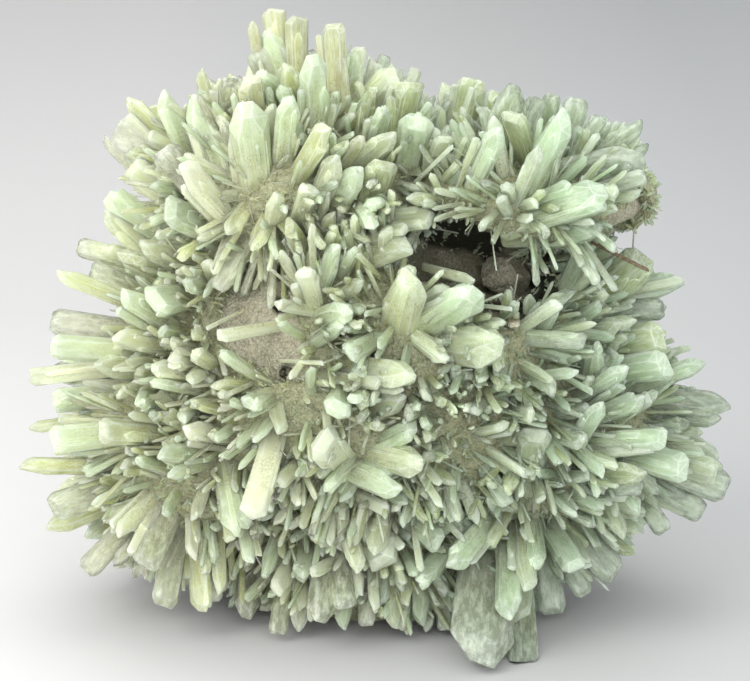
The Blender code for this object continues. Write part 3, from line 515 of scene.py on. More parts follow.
def above_floor(right, up, toward):
    """The point seen there, nearer to the viewer or higher where it would be under the surface below."""
    for step in range(FLOOR_STEPS):
        point = in_view(right, up, toward + step * FLOOR_STEP)
        if point.z > LOWEST_TIP:
            break
    point.z = max(point.z, LOWEST_TIP)
    return point


class Blade:
    """One crystal: from root to tip, with its width, its thickness and where its flat side faces."""

    def __init__(self, root, tip, width, end, tone, flat_side, draw):
        self.way = (tip - root).normalized()
        self.root = root - self.way * ROOT_LENGTH
        self.tip = tip
        self.width = width
        self.thickness = width * draw.uniform(*FLATNESS)
        self.end = end
        self.tone = tone
        self.flat_side = flat_side
        self.skew = draw.uniform(-0.32, 0.32)

    def matrix(self):
        """Local Z along the blade and local Y out of its flat side, from the root."""
        across = self.flat_side.cross(self.way).normalized()
        out = self.way.cross(across)
        turn = Matrix((across, out, self.way)).transposed()
        return Matrix.Translation(self.root) @ turn.to_4x4()


def blades_of(rows, seed):
    """The blades of a list, each leaning toward the viewer as much as its true length allows."""
    draw = random.Random(seed)
    for row in rows:
        tip_right, tip_up, root_right, root_up, width, end, tone = row[:7]
        toward = on_rock(root_right, root_up) - 1 * MM
        facing = max(0.0, rock_normal(in_view(root_right, root_up, toward)).dot(TO_VIEWER))
        seen = math.hypot(tip_right - root_right, tip_up - root_up)
        sideways = draw.uniform(-1, 1) * (1 - facing)
        if len(row) > 7:
            forward = row[7] * FORWARD_SCALE + (FORWARD_START if row[7] > 0 else 0)
        else:
            true_length = min(LONGEST, LENGTH_TO_WIDTH * width + SHORTEST_TRUE)
            forward = math.sqrt(max(0.0, true_length ** 2 - seen ** 2)) * facing
            forward += SIDEWAYS_LEAN * seen * sideways
        toward += SIDEWAYS_SHIFT * sideways
        root = back_to_rock(in_view(root_right, root_up, toward))
        tip = above_floor(tip_right, tip_up, toward + forward * MM)
        turn = Matrix.Rotation(draw.uniform(-0.5, 0.5), 3, (tip - root).normalized())
        yield Blade(root, tip, width * MM, end, tone, turn @ TO_VIEWER, draw)


def outline_reach(right, up):
    """How far the front view's outline reaches from its middle, in the direction of (right, up)."""
    angle = math.atan2(up, right)
    best = 0
    for tip_right, tip_up, *_ in FRONT_BLADES:
        turn = abs(math.remainder(math.atan2(tip_up, tip_right) - angle, 2 * math.pi))
        best = max(best, math.hypot(tip_right, tip_up) * (1 - OUTLINE_FALL * turn))
    return best


def kept_inside(root, way, length, shortest=SHORTEST):
    """The length at which a blade stays above the surface below and inside the front view's outline."""
    while length > shortest:
        tip = root + way * length
        right, up = seen_at(tip)
        if tip.z > LOWEST_TIP and math.hypot(right, up) < OUTLINE_SHARE * outline_reach(right, up):
            return length
        length *= SHORTER
    return 0


def is_bare(place, near, spacing):
    return all((place - other).length > spacing for other in near)


def hidden_sprays():
    """The middles of the sprays that the front view doesn't show, spread evenly over each lump."""
    found = []
    for middle, radii in LUMPS.values():
        area = 4 * math.pi * (radii[0] * radii[1] * radii[2]) ** (2 / 3)
        count = round(9 * area / HIDDEN_SPACING ** 2)
        for i in range(count):
            height = 1 - 2 * (i + 0.5) / count
            level = math.sqrt(1 - height * height)
            way = (level * math.cos(i * GOLDEN_ANGLE), level * math.sin(i * GOLDEN_ANGLE), height)
            place = middle + Vector([way[axis] * radii[axis] for axis in range(3)])
            outward = Vector([way[axis] / radii[axis] for axis in range(3)]).normalized()
            buried = (rock_normal(place) - outward).length > 0.01
            facing = outward.dot(TO_VIEWER)
            hidden = facing < HIDDEN_FACING or (outward.z > HIDDEN_TOP and facing < 0.4)
            if hidden and not buried and outward.z > -0.8 and is_bare(place, found, HIDDEN_SPACING):
                found.append(place)
                yield place, outward


def hidden_blades():
    """Blades fanned over each hidden spray, turned by the golden angle so that they spread evenly."""
    draw = random.Random(23)
    for middle, outward in hidden_sprays():
        side = outward.orthogonal().normalized()
        for i in range(HIDDEN_BLADES):
            share = math.sqrt((i + 0.5) / HIDDEN_BLADES)
            turn = Matrix.Rotation(i * GOLDEN_ANGLE + draw.uniform(-0.3, 0.3), 3, outward)
            spread = turn @ side
            root = middle + spread * (share * HIDDEN_ROOT_SPREAD * MM) - outward * (share * 2 * MM)
            lean = share * HIDDEN_LEAN
            way = outward * math.cos(lean) + spread * math.sin(lean)
            length = draw.uniform(*HIDDEN_LENGTHS) * (1 - 0.12 * share) * MM
            width = draw.uniform(*HIDDEN_WIDTHS) * MM
            end = draw.choice(("leaf", "leaf", "chisel", "blunt"))
            tone = draw.choice(("mint", "mint", "pale", "clear", "olive"))
            flat_side = Matrix.Rotation(draw.uniform(-0.8, 0.8), 3, way) @ outward.orthogonal()
            length = kept_inside(root, way, length)
            if length:
                width = min(width, 0.42 * length)
                yield Blade(root, root + way * length, width, end, tone, flat_side, draw)


def distance_to(blade, point):
    along = max(0.0, min((blade.tip - blade.root).length, (point - blade.root).dot(blade.way)))
    return (blade.root + blade.way * along - point).length


def in_the_open(point, margin=2 * MM):
    """Whether a point on the front is clear of the bare patch and of the hollow's mouth."""
    patch = in_view(*PATCH_AT, on_rock(*PATCH_AT))
    hollow = HOLLOW_TURN.transposed() @ (point - HOLLOW_MIDDLE)
    reach = sum((hollow[i] / (HOLLOW_RADII[i] + 2 * margin)) ** 2 for i in range(3))
    return (point - patch).length > PATCH_RADIUS + margin and reach > 1


def bare_spots():
    """The middle and the radius of each further spot where the crust is broken away."""
    for right, up, radius in BARE_SPOTS:
        yield in_view(right, up, on_rock(right, up)), radius * MM
    yield LEDGE_END


def on_crust(point, margin):
    """Whether a small crystal may stand at a point: not on the bare spots and not in the hollow."""
    return in_the_open(point, margin) and all((point - middle).length > radius for middle, radius in SPOTS)


def fill_blades(others):
    """Short blades wherever the front is bare, leaning away from the middle of the nearest spray."""
    draw = random.Random(5)
    grown = list(others)
    foci = [in_view(right, up, on_rock(right, up)) for right, up in SPRAY_FOCI]
    steps = int(90 / FILL_SPACING)
    for row in range(-steps, steps + 1):
        for column in range(-steps, steps + 1):
            right = (column + 0.5 * (row % 2)) * FILL_SPACING + draw.uniform(-2, 2)
            up = row * FILL_SPACING * 0.87 + draw.uniform(-2, 2)
            root = in_view(right, up, on_rock(right, up))
            outward = rock_normal(root)
            turn = Matrix.Rotation(draw.uniform(-0.5, 0.5), 3, outward)
            length = draw.uniform(*FILL_LENGTHS) * MM
            width = draw.uniform(*FILL_WIDTHS) * MM
            end = draw.choice(("leaf", "leaf", "chisel", "blunt"))
            tone = draw.choice(("mint", "mint", "pale", "white", "olive"))
            if outward.dot(TO_VIEWER) < FILL_FACING or not in_the_open(root) or root.z < FILL_LOWEST:
                continue
            stands = root + outward * FILL_STANDOFF
            if min(distance_to(blade, stands) for blade in grown) < FILL_CLEAR:
                continue
            focus = min(foci, key=lambda place: (place - root).length)
            lean = turn @ (root - focus).normalized()
            way = (outward + lean * draw.uniform(0.25, 0.75)).normalized()
            length = kept_inside(root, way, length)
            if length:
                blade = Blade(root, root + way * length, width, end, tone, lean, draw)
                grown.append(blade)
                yield blade


def spray_points(spacing, draw):
    """Points all over the rock, evenly spaced, each with its outward direction."""
    for middle, radii in LUMPS.values():
        area = 4 * math.pi * (radii[0] * radii[1] * radii[2]) ** (2 / 3)
        count = round(area / spacing ** 2)
        for i in range(count):
            height = 1 - 2 * (i + draw.uniform(0.1, 0.9)) / count
            level = math.sqrt(1 - height * height)
            turn = i * GOLDEN_ANGLE + draw.uniform(-0.2, 0.2)
            way = (level * math.cos(turn), level * math.sin(turn), height)
            place = middle + Vector([way[axis] * radii[axis] for axis in range(3)])
            outward = Vector([way[axis] / radii[axis] for axis in range(3)]).normalized()
            if (rock_normal(place) - outward).length < 0.01 and outward.z > -0.85 and place.z > 5 * MM:
                yield place, outward


def small_blades(foci, spacing, lengths, widths, leans, seed, tones, margin=1.5 * MM):
    """Small crystals that fill the room between the blades, leaning away from the nearest focus."""
    draw = random.Random(seed)
    commonest = lengths[0] + 0.35 * (lengths[1] - lengths[0])
    for place, outward in spray_points(spacing, draw):
        turn = Matrix.Rotation(draw.uniform(-0.9, 0.9), 3, outward)
        length = draw.triangular(lengths[0], lengths[1], commonest) * MM
        width = draw.triangular(widths[0], widths[1], widths[0]) * MM
        end = draw.choice(("leaf", "leaf", "chisel", "blunt"))
        tone = draw.choice(tones)
        lean = draw.uniform(*leans)
        if not on_crust(place, margin):
            continue
        focus = min(foci, key=lambda other: (other - place).length)
        away = place - focus
        away = away.normalized() if away.length > 1e-6 else outward.orthogonal()
        way = (outward + (turn @ away) * lean).normalized()
        length = kept_inside(place, way, length, 3 * MM)
        if length:
            width = min(width, 0.4 * length)
            flat_side = Matrix.Rotation(draw.uniform(-1.5, 1.5), 3, way) @ outward.orthogonal()
            yield Blade(place, place + way * length, width, end, tone, flat_side, draw)


def outline(blade, half, length):
    """The outline of a blade's flat side, as (across, along) corners from its root round its end."""
    skew = blade.skew
    foot = [(-ROOT_WIDTH * half, 0.0), (ROOT_WIDTH * half, 0.0)]
    if blade.end == "leaf":
        taper = min((1.45 + 2.6 * abs(skew)) * half, 0.4 * length)
        right = taper * (1 + 1.4 * skew)
        left = taper * (1 - 1.4 * skew)
        point = skew * half
        return foot + [
            (half, length - right),
            (0.64 * half, length - 0.46 * right),
            (point + 0.12 * half, length - 0.02 * right),
            (point - 0.12 * half, length),
            (-0.62 * half, length - 0.44 * left),
            (-half, length - left),
        ]
    if blade.end == "chisel":
        return foot + [
            (half, length - 1.45 * half),
            (0.4 * half, length - (0.12 + 0.8 * max(0.0, skew)) * half),
            (-0.34 * half, length - (0.12 + 0.8 * max(0.0, -skew)) * half),
            (-half, length - 1.1 * half),
        ]
    if blade.end == "blunt":
        return foot + [
            (half, length - 0.6 * half),
            (0.66 * half, length - 0.5 * max(0.0, skew) * half),
            (-0.66 * half, length - 0.5 * max(0.0, -skew) * half),
            (-half, length - 0.5 * half),
        ]
    return foot + [
        (half, length - (0.6 + skew) * half),
        (0.3 * half, length),
        (-half, length - 0.3 * half),
    ]


def blade_points(blade):
    """A flat crystal's corners: its outline at mid thickness, and its two flat sides a little inside it."""
    length = (blade.tip - blade.root).length
    half, thick = blade.width / 2, blade.thickness / 2
    step_back = END_SLOPE[blade.end] * half
    points = []
    for across, along in outline(blade, half, length):
        points.append(Vector((across, 0, along)))
        low = along - step_back if along > 0 else 0
        for side in (-1, 1):
            points.append(Vector((FLAT_SIDE * across, side * thick, low)))
    return points


def ribs(blade, draw):
    """Narrow blades grown into a large one, which rib its flat sides and step its end."""
    length = (blade.tip - blade.root).length
    across = blade.flat_side.cross(blade.way).normalized()
    out = blade.way.cross(across)
    half = blade.width / 2
    for _ in range(round(blade.width / (3.6 * MM))):
        place = draw.uniform(-0.66, 0.66)
        shift = across * (place * half) + out * (draw.uniform(-0.14, 0.14) * blade.thickness)
        reach = length - END_DROP[blade.end] * abs(place) * half
        reach -= draw.choice((0.0, 0.04, 0.1, 0.2)) * length
        way = (blade.way + across * draw.uniform(-0.02, 0.02)).normalized()
        root = blade.root + shift + way * ROOT_LENGTH
        width = blade.width * draw.uniform(0.28, 0.56)
        turned = Matrix.Rotation(draw.uniform(-0.12, 0.12), 3, way) @ blade.flat_side
        end = draw.choice(("leaf", "chisel", "broken", "blunt"))
        rib = Blade(root, blade.root + shift + way * reach, width, end, blade.tone, turned, draw)
        rib.thickness = blade.thickness * draw.uniform(0.96, 1.1)
        yield rib


def companions(blade, draw):
    """Blades grown beside a large one, nearly along it, which end short of its tip."""
    length = (blade.tip - blade.root).length
    across = blade.flat_side.cross(blade.way).normalized()
    out = blade.way.cross(across)
    for _ in range(draw.choice((0, 1, 1, 2))):
        shift = across * draw.choice((-1, 1)) * draw.uniform(0.3, 0.62) * blade.width
        shift += out * draw.uniform(-0.6, 0.6) * blade.thickness
        way = (blade.way + across * draw.uniform(-0.1, 0.1) + out * draw.uniform(-0.1, 0.1)).normalized()
        root = blade.root + shift + blade.way * ROOT_LENGTH
        tip = root + way * (length - ROOT_LENGTH) * draw.uniform(0.55, 0.92)
        end = draw.choice(("leaf", "chisel", "broken", "blunt"))
        width = blade.width * draw.uniform(0.3, 0.62)
        tone = draw.choice((blade.tone, blade.tone, "white", "pale"))
        turned = Matrix.Rotation(draw.uniform(-0.5, 0.5), 3, way) @ blade.flat_side
        yield Blade(root, tip, width, end, tone, turned, draw)


def set_attribute(mesh, name, kind, domain, values):
    """Stores values on a mesh's points or faces, for its material to read."""
    field = {"FLOAT": "value", "FLOAT_VECTOR": "vector", "FLOAT_COLOR": "color"}[kind]
    attribute = mesh.attributes.new(name, kind, domain)
    attribute.data.foreach_set(field, np.array(values, dtype=np.float32).ravel())


class Crystals:
    """Many crystals gathered in one mesh, with what the material needs to know at each corner."""

    def __init__(self):
        self.places, self.faces, self.edge_glints = [], [], []
        self.tints, self.depths, self.locals = [], [], []

    def add(self, blade, draw, bevel=0.0):
        body = bmesh.new()
        for point in blade_points(blade):
            body.verts.new(point)
        bmesh.ops.convex_hull(body, input=body.verts)
        loose = [vert for vert in body.verts if not vert.link_faces]
        bmesh.ops.delete(body, geom=loose, context="VERTS")
        bmesh.ops.dissolve_limit(body, angle_limit=math.radians(2), verts=body.verts, edges=body.edges)
        # The bevelled edge faces, marked for a painted highlight.
        edge_glint = set()
        if bevel:
            made = bmesh.ops.bevel(
                body, geom=body.edges[:], offset=bevel, segments=1, affect="EDGES", clamp_overlap=True
            )
            edge_glint = set(made["faces"])
        bmesh.ops.recalc_face_normals(body, faces=body.faces)
        length = (blade.tip - blade.root).length
        clearness = TONES[blade.tone][2] + draw.uniform(-0.15, 0.15)
        clearness = min(1.0, max(0.0, clearness))
        shade = draw.uniform(0.88, 1.06)
        seed = draw.uniform(0, 100)
        first = self.add_points([vert.co for vert in body.verts], blade, length, clearness, shade, seed)
        body.verts.index_update()
        for face in body.faces:
            self.faces.append([first + vert.index for vert in face.verts])
            self.edge_glints.append(1.0 if face in edge_glint else 0.0)
        body.free()

    def add_points(self, points, blade, length, clearness, shade, seed):
        """Places a crystal's points and gives each its colour; returns the first one's number."""
        tip_colour, root_colour, _ = TONES[blade.tone]
        # Partly painted light: crystals to the right are tinted darker, as if in shade, and those to the
        # left lighter.
        shaded_side_share = min(1.0, max(0.0, (blade.tip.x / MM + 35) / 80))
        side_tint_and_shade = [LIT_WARM_SIDE[i] + (SHADED_COOL_SIDE[i] - LIT_WARM_SIDE[i]) * shaded_side_share for i in range(3)]
        matrix = blade.matrix()
        first = len(self.places)
        for point in points:
            along = min(1.0, max(0.0, point.z / length))
            rise = min(1.0, max(0.0, (along - 0.28) / 0.6))
            rise = rise * rise * (3 - 2 * rise)
            tone = [root_colour[i] + (tip_colour[i] - root_colour[i]) * rise for i in range(3)]
            place = matrix @ point
            place.z = max(place.z, LEAST_HEIGHT)
            self.places.append(place)
            self.tints.append((*[min(1.0, tone[i] * side_tint_and_shade[i] * shade) for i in range(3)], 1.0))
            self.depths.append((along, clearness, seed))
            self.locals.append((point.x / MM + seed, point.y / MM, point.z / MM))
        return first

    def add_spike(self, blade, draw):
        """A tiny four-sided crystal with a pointed end, cheap enough to use in thousands."""
        half, thick = blade.width / 2, blade.thickness / 2
        length = (blade.tip - blade.root).length
        corners = [(half, 0), (0, thick), (-half, 0), (0, -thick)]
        rows = [Vector((x * 0.8, y * 0.8, 0)) for x, y in corners]
        rows += [Vector((x, y, length - 1.2 * half)) for x, y in corners]
        rows.append(Vector((0, 0, length)))
        shade = draw.uniform(0.8, 1.08)
        seed = draw.uniform(0, 100)
        first = self.add_points(rows, blade, length, TONES[blade.tone][2], shade, seed)
        for i in range(4):
            j = (i + 1) % 4
            self.faces.append([first + i, first + j, first + 4 + j, first + 4 + i])
            self.faces.append([first + 4 + i, first + 4 + j, first + 8])
        self.faces.append([first + 3, first + 2, first + 1, first])
        self.edge_glints += [0.0] * 9

    def build(self, name, material):
        mesh = bpy.data.meshes.new(name)
        mesh.from_pydata(self.places, [], self.faces)
        for title, kind, domain, values in (
            ("tint", "FLOAT_COLOR", "POINT", self.tints),
            ("depth", "FLOAT_VECTOR", "POINT", self.depths),
            ("inside", "FLOAT_VECTOR", "POINT", self.locals),
            ("edge_glint", "FLOAT", "FACE", self.edge_glints),
        ):
            set_attribute(mesh, title, kind, domain, values)
        mesh.materials.append(material)
        mesh.update()
        obj = bpy.data.objects.new(name, mesh)
        bpy.context.scene.collection.objects.link(obj)
        return obj


def node(tree, kind, **values):
    item = tree.nodes.new(kind)
    for key, value in values.items():
        setattr(item, key, value)
    return item


def link(tree, start, end):
    tree.links.new(start, end)


def mapped(tree, value, low, high, to_low=0.0, to_high=1.0):
    """A value taken from low..high to to_low..to_high, and held at those ends."""
    item = node(tree, "ShaderNodeMapRange")
    item.inputs["From Min"].default_value = low
    item.inputs["From Max"].default_value = high
    item.inputs["To Min"].default_value = to_low
    item.inputs["To Max"].default_value = to_high
    link(tree, value, item.inputs["Value"])
    return item.outputs["Result"]


def times(tree, value, other):
    """The product of a value and another value or number."""
    item = node(tree, "ShaderNodeMath", operation="MULTIPLY", use_clamp=True)
    link(tree, value, item.inputs[0])
    if isinstance(other, float):
        item.inputs[1].default_value = other
    else:
        link(tree, other, item.inputs[1])
    return item.outputs[0]


def mixed(tree, factor, base, colour):
    """A colour mixed over a base where the factor is high."""
    item = node(tree, "ShaderNodeMix", data_type="RGBA")
    item.inputs["B"].default_value = (*colour, 1)
    link(tree, factor, item.inputs["Factor"])
    link(tree, base, item.inputs["A"])
    return item.outputs["Result"]


def clouds(tree, place, stretch, detail, roughness=0.5):
    """Noise over a place, with its frequency along each axis."""
    scaled = node(tree, "ShaderNodeMapping")
    scaled.inputs["Scale"].default_value = stretch
    link(tree, place, scaled.inputs["Vector"])
    item = node(tree, "ShaderNodeTexNoise")
    item.inputs["Scale"].default_value = 1.0
    item.inputs["Detail"].default_value = detail
    item.inputs["Roughness"].default_value = roughness
    link(tree, scaled.outputs["Vector"], item.inputs["Vector"])
    return item.outputs["Fac"]


def bumped(tree, shader, height, strength, distance):
    """Raises a surface's fine relief by a value."""
    bump = node(tree, "ShaderNodeBump")
    bump.inputs["Strength"].default_value = strength
    bump.inputs["Distance"].default_value = distance
    link(tree, height, bump.inputs["Height"])
    link(tree, bump.outputs["Normal"], shader.inputs["Normal"])


def crystal_material():
    """Milky to clear gypsum: veils, lines and olive grains in a waxy body with a glassy surface, and a
    painted highlight on the edges.
    """
    material = bpy.data.materials.new("gypsum")
    material.use_nodes = True
    tree = material.node_tree
    shader = tree.nodes["Principled BSDF"]
    tint = node(tree, "ShaderNodeAttribute", attribute_name="tint")
    depth = node(tree, "ShaderNodeAttribute", attribute_name="depth")
    place = node(tree, "ShaderNodeAttribute", attribute_name="inside").outputs["Vector"]
    edge_glint = node(tree, "ShaderNodeAttribute", attribute_name="edge_glint").outputs["Fac"]
    parts = node(tree, "ShaderNodeSeparateXYZ")
    link(tree, depth.outputs["Vector"], parts.inputs[0])
    along, clearness = parts.outputs["X"], parts.outputs["Y"]
    veils = clouds(tree, place, (0.6, 0.6, 0.2), 3.0, 0.7)
    lines = clouds(tree, place, (3.2, 3.2, 0.05), 1.0)
    grains = clouds(tree, place, (2.4, 2.4, 1.6), 1.0, 0.6)
    patches = clouds(tree, place, (0.35, 0.35, 0.22), 0.0)
    veiled = mapped(tree, veils, 0.42, 0.66)
    # Olive grains toward the root, in patches
    near_root = mapped(tree, along, 0.3, 0.9, 1.0, 0.2)
    speckled = times(tree, mapped(tree, grains, 0.48, 0.6), mapped(tree, patches, 0.38, 0.54))
    speckled = times(tree, speckled, near_root)
    body = mixed(tree, times(tree, speckled, 0.66), tint.outputs["Color"], GRAIN_COLOUR)
    # White veils, fine pale lines along the blade, a frosted tip, and a painted highlight on the edges
    body = mixed(tree, times(tree, veiled, 0.42), body, VEIL_COLOUR)
    body = mixed(tree, times(tree, mapped(tree, lines, 0.56, 0.66), 0.35), body, FROST_AND_GLINT_COLOUR)
    frosted = times(tree, mapped(tree, along, 0.84, 1.0), mapped(tree, grains, 0.35, 0.6))
    body = mixed(tree, times(tree, frosted, 0.45), body, FROST_AND_GLINT_COLOUR)
    # A painted highlight on the bevelled edges.
    body = mixed(tree, times(tree, edge_glint, 0.5), body, FROST_AND_GLINT_COLOUR)
    link(tree, body, shader.inputs["Base Color"])
    # How see-through: clearer toward the tip and between the veils
    clear = times(tree, clearness, mapped(tree, veiled, 0.0, 1.0, 1.0, 0.45))
    clear = times(tree, clear, mapped(tree, along, 0.2, 0.7, 0.3, 1.0))
    link(tree, clear, shader.inputs["Transmission Weight"])
    link(tree, mapped(tree, veils, 0.2, 0.8, 0.04, 0.3), shader.inputs["Roughness"])
    shader.inputs["IOR"].default_value = 1.52
    shader.subsurface_method = "BURLEY"
    shader.inputs["Subsurface Weight"].default_value = 0.75
    shader.inputs["Subsurface Radius"].default_value = (0.95, 1.0, 0.75)
    shader.inputs["Subsurface Scale"].default_value = 0.0035
    bumped(tree, shader, lines, 0.6, 0.12 * MM)
    return material


def rock_material(name, dark, light, speck):
    """Sugary rock: grains of different tone with dark specks, and painted shade inside the hollow and the
    pits.
    """
    material = bpy.data.materials.new(name)
    material.use_nodes = True
    tree = material.node_tree
    shader = tree.nodes["Principled BSDF"]
    place = node(tree, "ShaderNodeTexCoord").outputs["Object"]
    grains = node(tree, "ShaderNodeTexVoronoi")
    grains.inputs["Scale"].default_value = 1900
    link(tree, place, grains.inputs["Vector"])
    cells = node(tree, "ShaderNodeSeparateColor")
    link(tree, grains.outputs["Color"], cells.inputs[0])
    patches = clouds(tree, place, (140, 140, 140), 3.0)
    tone = node(tree, "ShaderNodeMix", data_type="FLOAT")
    tone.inputs["Factor"].default_value = 0.6
    link(tree, mapped(tree, patches, 0.3, 0.7), tone.inputs["A"])
    link(tree, cells.outputs[0], tone.inputs["B"])
    body = node(tree, "ShaderNodeMix", data_type="RGBA")
    body.inputs["A"].default_value = (*dark, 1)
    body.inputs["B"].default_value = (*light, 1)
    link(tree, tone.outputs["Result"], body.inputs["Factor"])
    spots = mapped(tree, clouds(tree, place, (1300, 1300, 1300), 2.0, 0.7), 0.54, 0.72)
    spotted = mixed(tree, times(tree, spots, 0.7), body.outputs["Result"], speck)
    # Painted shade: near-black in the hollow and the pits.
    painted_shade = node(tree, "ShaderNodeAttribute", attribute_name="painted_shade").outputs["Fac"]
    final = mixed(tree, painted_shade, spotted, HOLLOW_SHADE_COLOUR)
    link(tree, final, shader.inputs["Base Color"])
    shader.inputs["Roughness"].default_value = 0.55
    bumped(tree, shader, grains.outputs["Distance"], 0.9, 0.4 * MM)
    return material


def knobbly(body, middle, radii, detail, grow=0.0):
    """Adds a lump with an uneven surface to a mesh."""
    made = bmesh.ops.create_icosphere(body, subdivisions=detail, radius=1.0)
    for vert in made["verts"]:
        place = Vector([vert.co[i] * radii[i] for i in range(3)])
        outward = Vector([vert.co[i] / radii[i] for i in range(3)]).normalized()
        knob = noise.noise((middle + place) / LUMP_SIZE) * LUMP_HEIGHT
        vert.co = middle + place + outward * (knob + grow)


def add_boulder(body):
    """Adds a block with flat broken sides to a mesh."""
    made = bmesh.ops.create_icosphere(body, subdivisions=4, radius=1.0)
    draw = random.Random(61)
    sides = [Vector([draw.uniform(-1, 1) for _ in range(3)]).normalized() for _ in range(9)]
    middle, radii = BOULDER
    for vert in made["verts"]:
        reach = min([0.72 / max(0.01, vert.co.dot(side)) for side in sides] + [1.0])
        vert.co = middle + Vector([vert.co[i] * reach * radii[i] * 1.15 for i in range(3)])


def hollow_cutter(cut_grow):
    """The hollow, deeper than the solid's by a little at its back."""
    cut = bmesh.new()
    bmesh.ops.create_icosphere(cut, subdivisions=4, radius=1.0)
    for vert in cut.verts:
        place = Vector([vert.co[i] * (HOLLOW_RADII[i] + cut_grow) for i in range(3)])
        if place.y > 0:
            place.y *= 1 + 2 * HOLLOW_DEEPER / HOLLOW_RADII.y
        knob = noise.noise((HOLLOW_MIDDLE + place) / (0.5 * LUMP_SIZE)) * LUMP_HEIGHT
        vert.co = HOLLOW_MIDDLE + HOLLOW_TURN @ (place * (1 + knob / (12 * MM)))
    return cut


def ball_cutter(middle, radius, rough):
    """A ball with an uneven surface, as a mesh that cuts a pit or a bare spot."""
    hole = bmesh.new()
    bmesh.ops.create_icosphere(hole, subdivisions=4, radius=radius)
    for vert in hole.verts:
        knob = noise.noise((middle + vert.co) / (0.5 * radius)) * rough * radius
        vert.co = middle + vert.co * (1 + knob / radius)
    return hole


def pit_places():
    """The middle and the radius of each dark pit in the rock."""
    for right, up, radius in PITS:
        yield in_view(right, up, on_rock(right, up)), radius * MM


def painted_shade_at(place):
    """Painted shade, from 0 on the outside to 1 in a pit or under the hollow's roof; its left wall, which
    the light reaches, and the boulder get less of it.
    """
    inner = HOLLOW_TURN.transposed() @ (place - HOLLOW_MIDDLE)
    reach = math.sqrt(sum((inner[i] / (HOLLOW_RADII[i] + 2 * MM)) ** 2 for i in (0, 2)))
    painted_shade = 0.0
    if reach < 1.25 and inner.y < 45 * MM:
        painted_shade = min(1.0, max(0.0, (inner.y + 12 * MM) / (16 * MM)))
    right, up = seen_at(place)
    if (place - BOULDER[0]).length < 1.3 * BOULDER[1].x:
        painted_shade *= 0.3
    elif right < LIT_WALL_RIGHT and up < LIT_WALL_TOP - 0.2 * (right - LIT_WALL_LEFT):
        painted_shade *= 0.2
    for middle, radius in PIT_PLACES:
        if (place - middle).length < 1.25 * radius:
            painted_shade = max(painted_shade, 0.95)
    return painted_shade


def lumps_mesh(grow, cut_grow, patch, voxel, rough, seed):
    """The rock's lumps as one fine mesh, hollowed, its surface roughened into grains."""
    body = bmesh.new()
    for middle, radii in LUMPS.values():
        knobbly(body, middle, radii, 5, grow)
    cutters = [hollow_cutter(cut_grow)]
    if patch:
        cutters.append(ball_cutter(in_view(*PATCH_AT, on_rock(*PATCH_AT)), PATCH_RADIUS, 0.2))
        cutters += [ball_cutter(middle, radius, 0.3) for middle, radius in SPOTS]
    else:
        cutters += [ball_cutter(middle, radius, 0.5) for middle, radius in PIT_PLACES]
    below = bmesh.new()
    bmesh.ops.create_cube(below, size=0.4)
    bmesh.ops.translate(below, verts=below.verts, vec=(0, 0, -0.2 + (1.2 * MM if patch else 0)))
    cutters.append(below)
    mesh = bpy.data.meshes.new("lumps")
    body.to_mesh(mesh)
    body.free()
    lumps = bpy.data.objects.new("lumps", mesh)
    bpy.context.scene.collection.objects.link(lumps)
    remesh = lumps.modifiers.new("one_skin", "REMESH")
    remesh.mode = "VOXEL"
    remesh.voxel_size = voxel
    for i, cutter in enumerate(cutters):
        shape = bpy.data.meshes.new("cutter")
        cutter.to_mesh(shape)
        cutter.free()
        obj = bpy.data.objects.new("cutter", shape)
        bpy.context.scene.collection.objects.link(obj)
        cutters[i] = obj
        modifier = lumps.modifiers.new("cut", "BOOLEAN")
        modifier.operation = "DIFFERENCE"
        modifier.solver = "MANIFOLD"
        modifier.object = obj
    bpy.context.view_layer.update()
    made = bpy.data.meshes.new_from_object(lumps.evaluated_get(bpy.context.evaluated_depsgraph_get()))
    for obj in [*cutters, lumps]:
        bpy.data.objects.remove(obj, do_unlink=True)
    body = bmesh.new()
    body.from_mesh(made)
    if not patch:
        add_boulder(body)
    body.normal_update()
    offset = Vector((seed, seed, seed))
    for vert in body.verts:
        if vert.co.z < 0.6 * MM:
            continue
        grain = noise.noise(vert.co / (1.7 * MM) + offset)
        grain += 0.6 * noise.noise(vert.co / (0.8 * MM) + offset)
        lump = noise.noise(vert.co / (6 * MM) - offset)
        vert.co += vert.normal * (rough * grain + 2 * rough * lump)
        vert.co.z = max(vert.co.z, 0.05 * MM)
    body.to_mesh(made)
    body.free()
    # The painted shade of the hollow and the pits, for the material to read.
    set_attribute(made, "painted_shade", "FLOAT", "POINT", [painted_shade_at(vert.co) for vert in made.vertices])
    return made


def piece(name, mesh, material, replaced):
    """Makes a named object of a mesh, which takes the place of a solid."""
    mesh.materials.clear()
    mesh.materials.append(material)
    obj = bpy.data.objects.new(name, mesh)
    bpy.context.scene.collection.objects.link(obj)
    belongs(obj, replaced)
    return obj


def belongs(obj, replaced):
    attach(obj, "root")
    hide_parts(replaced)


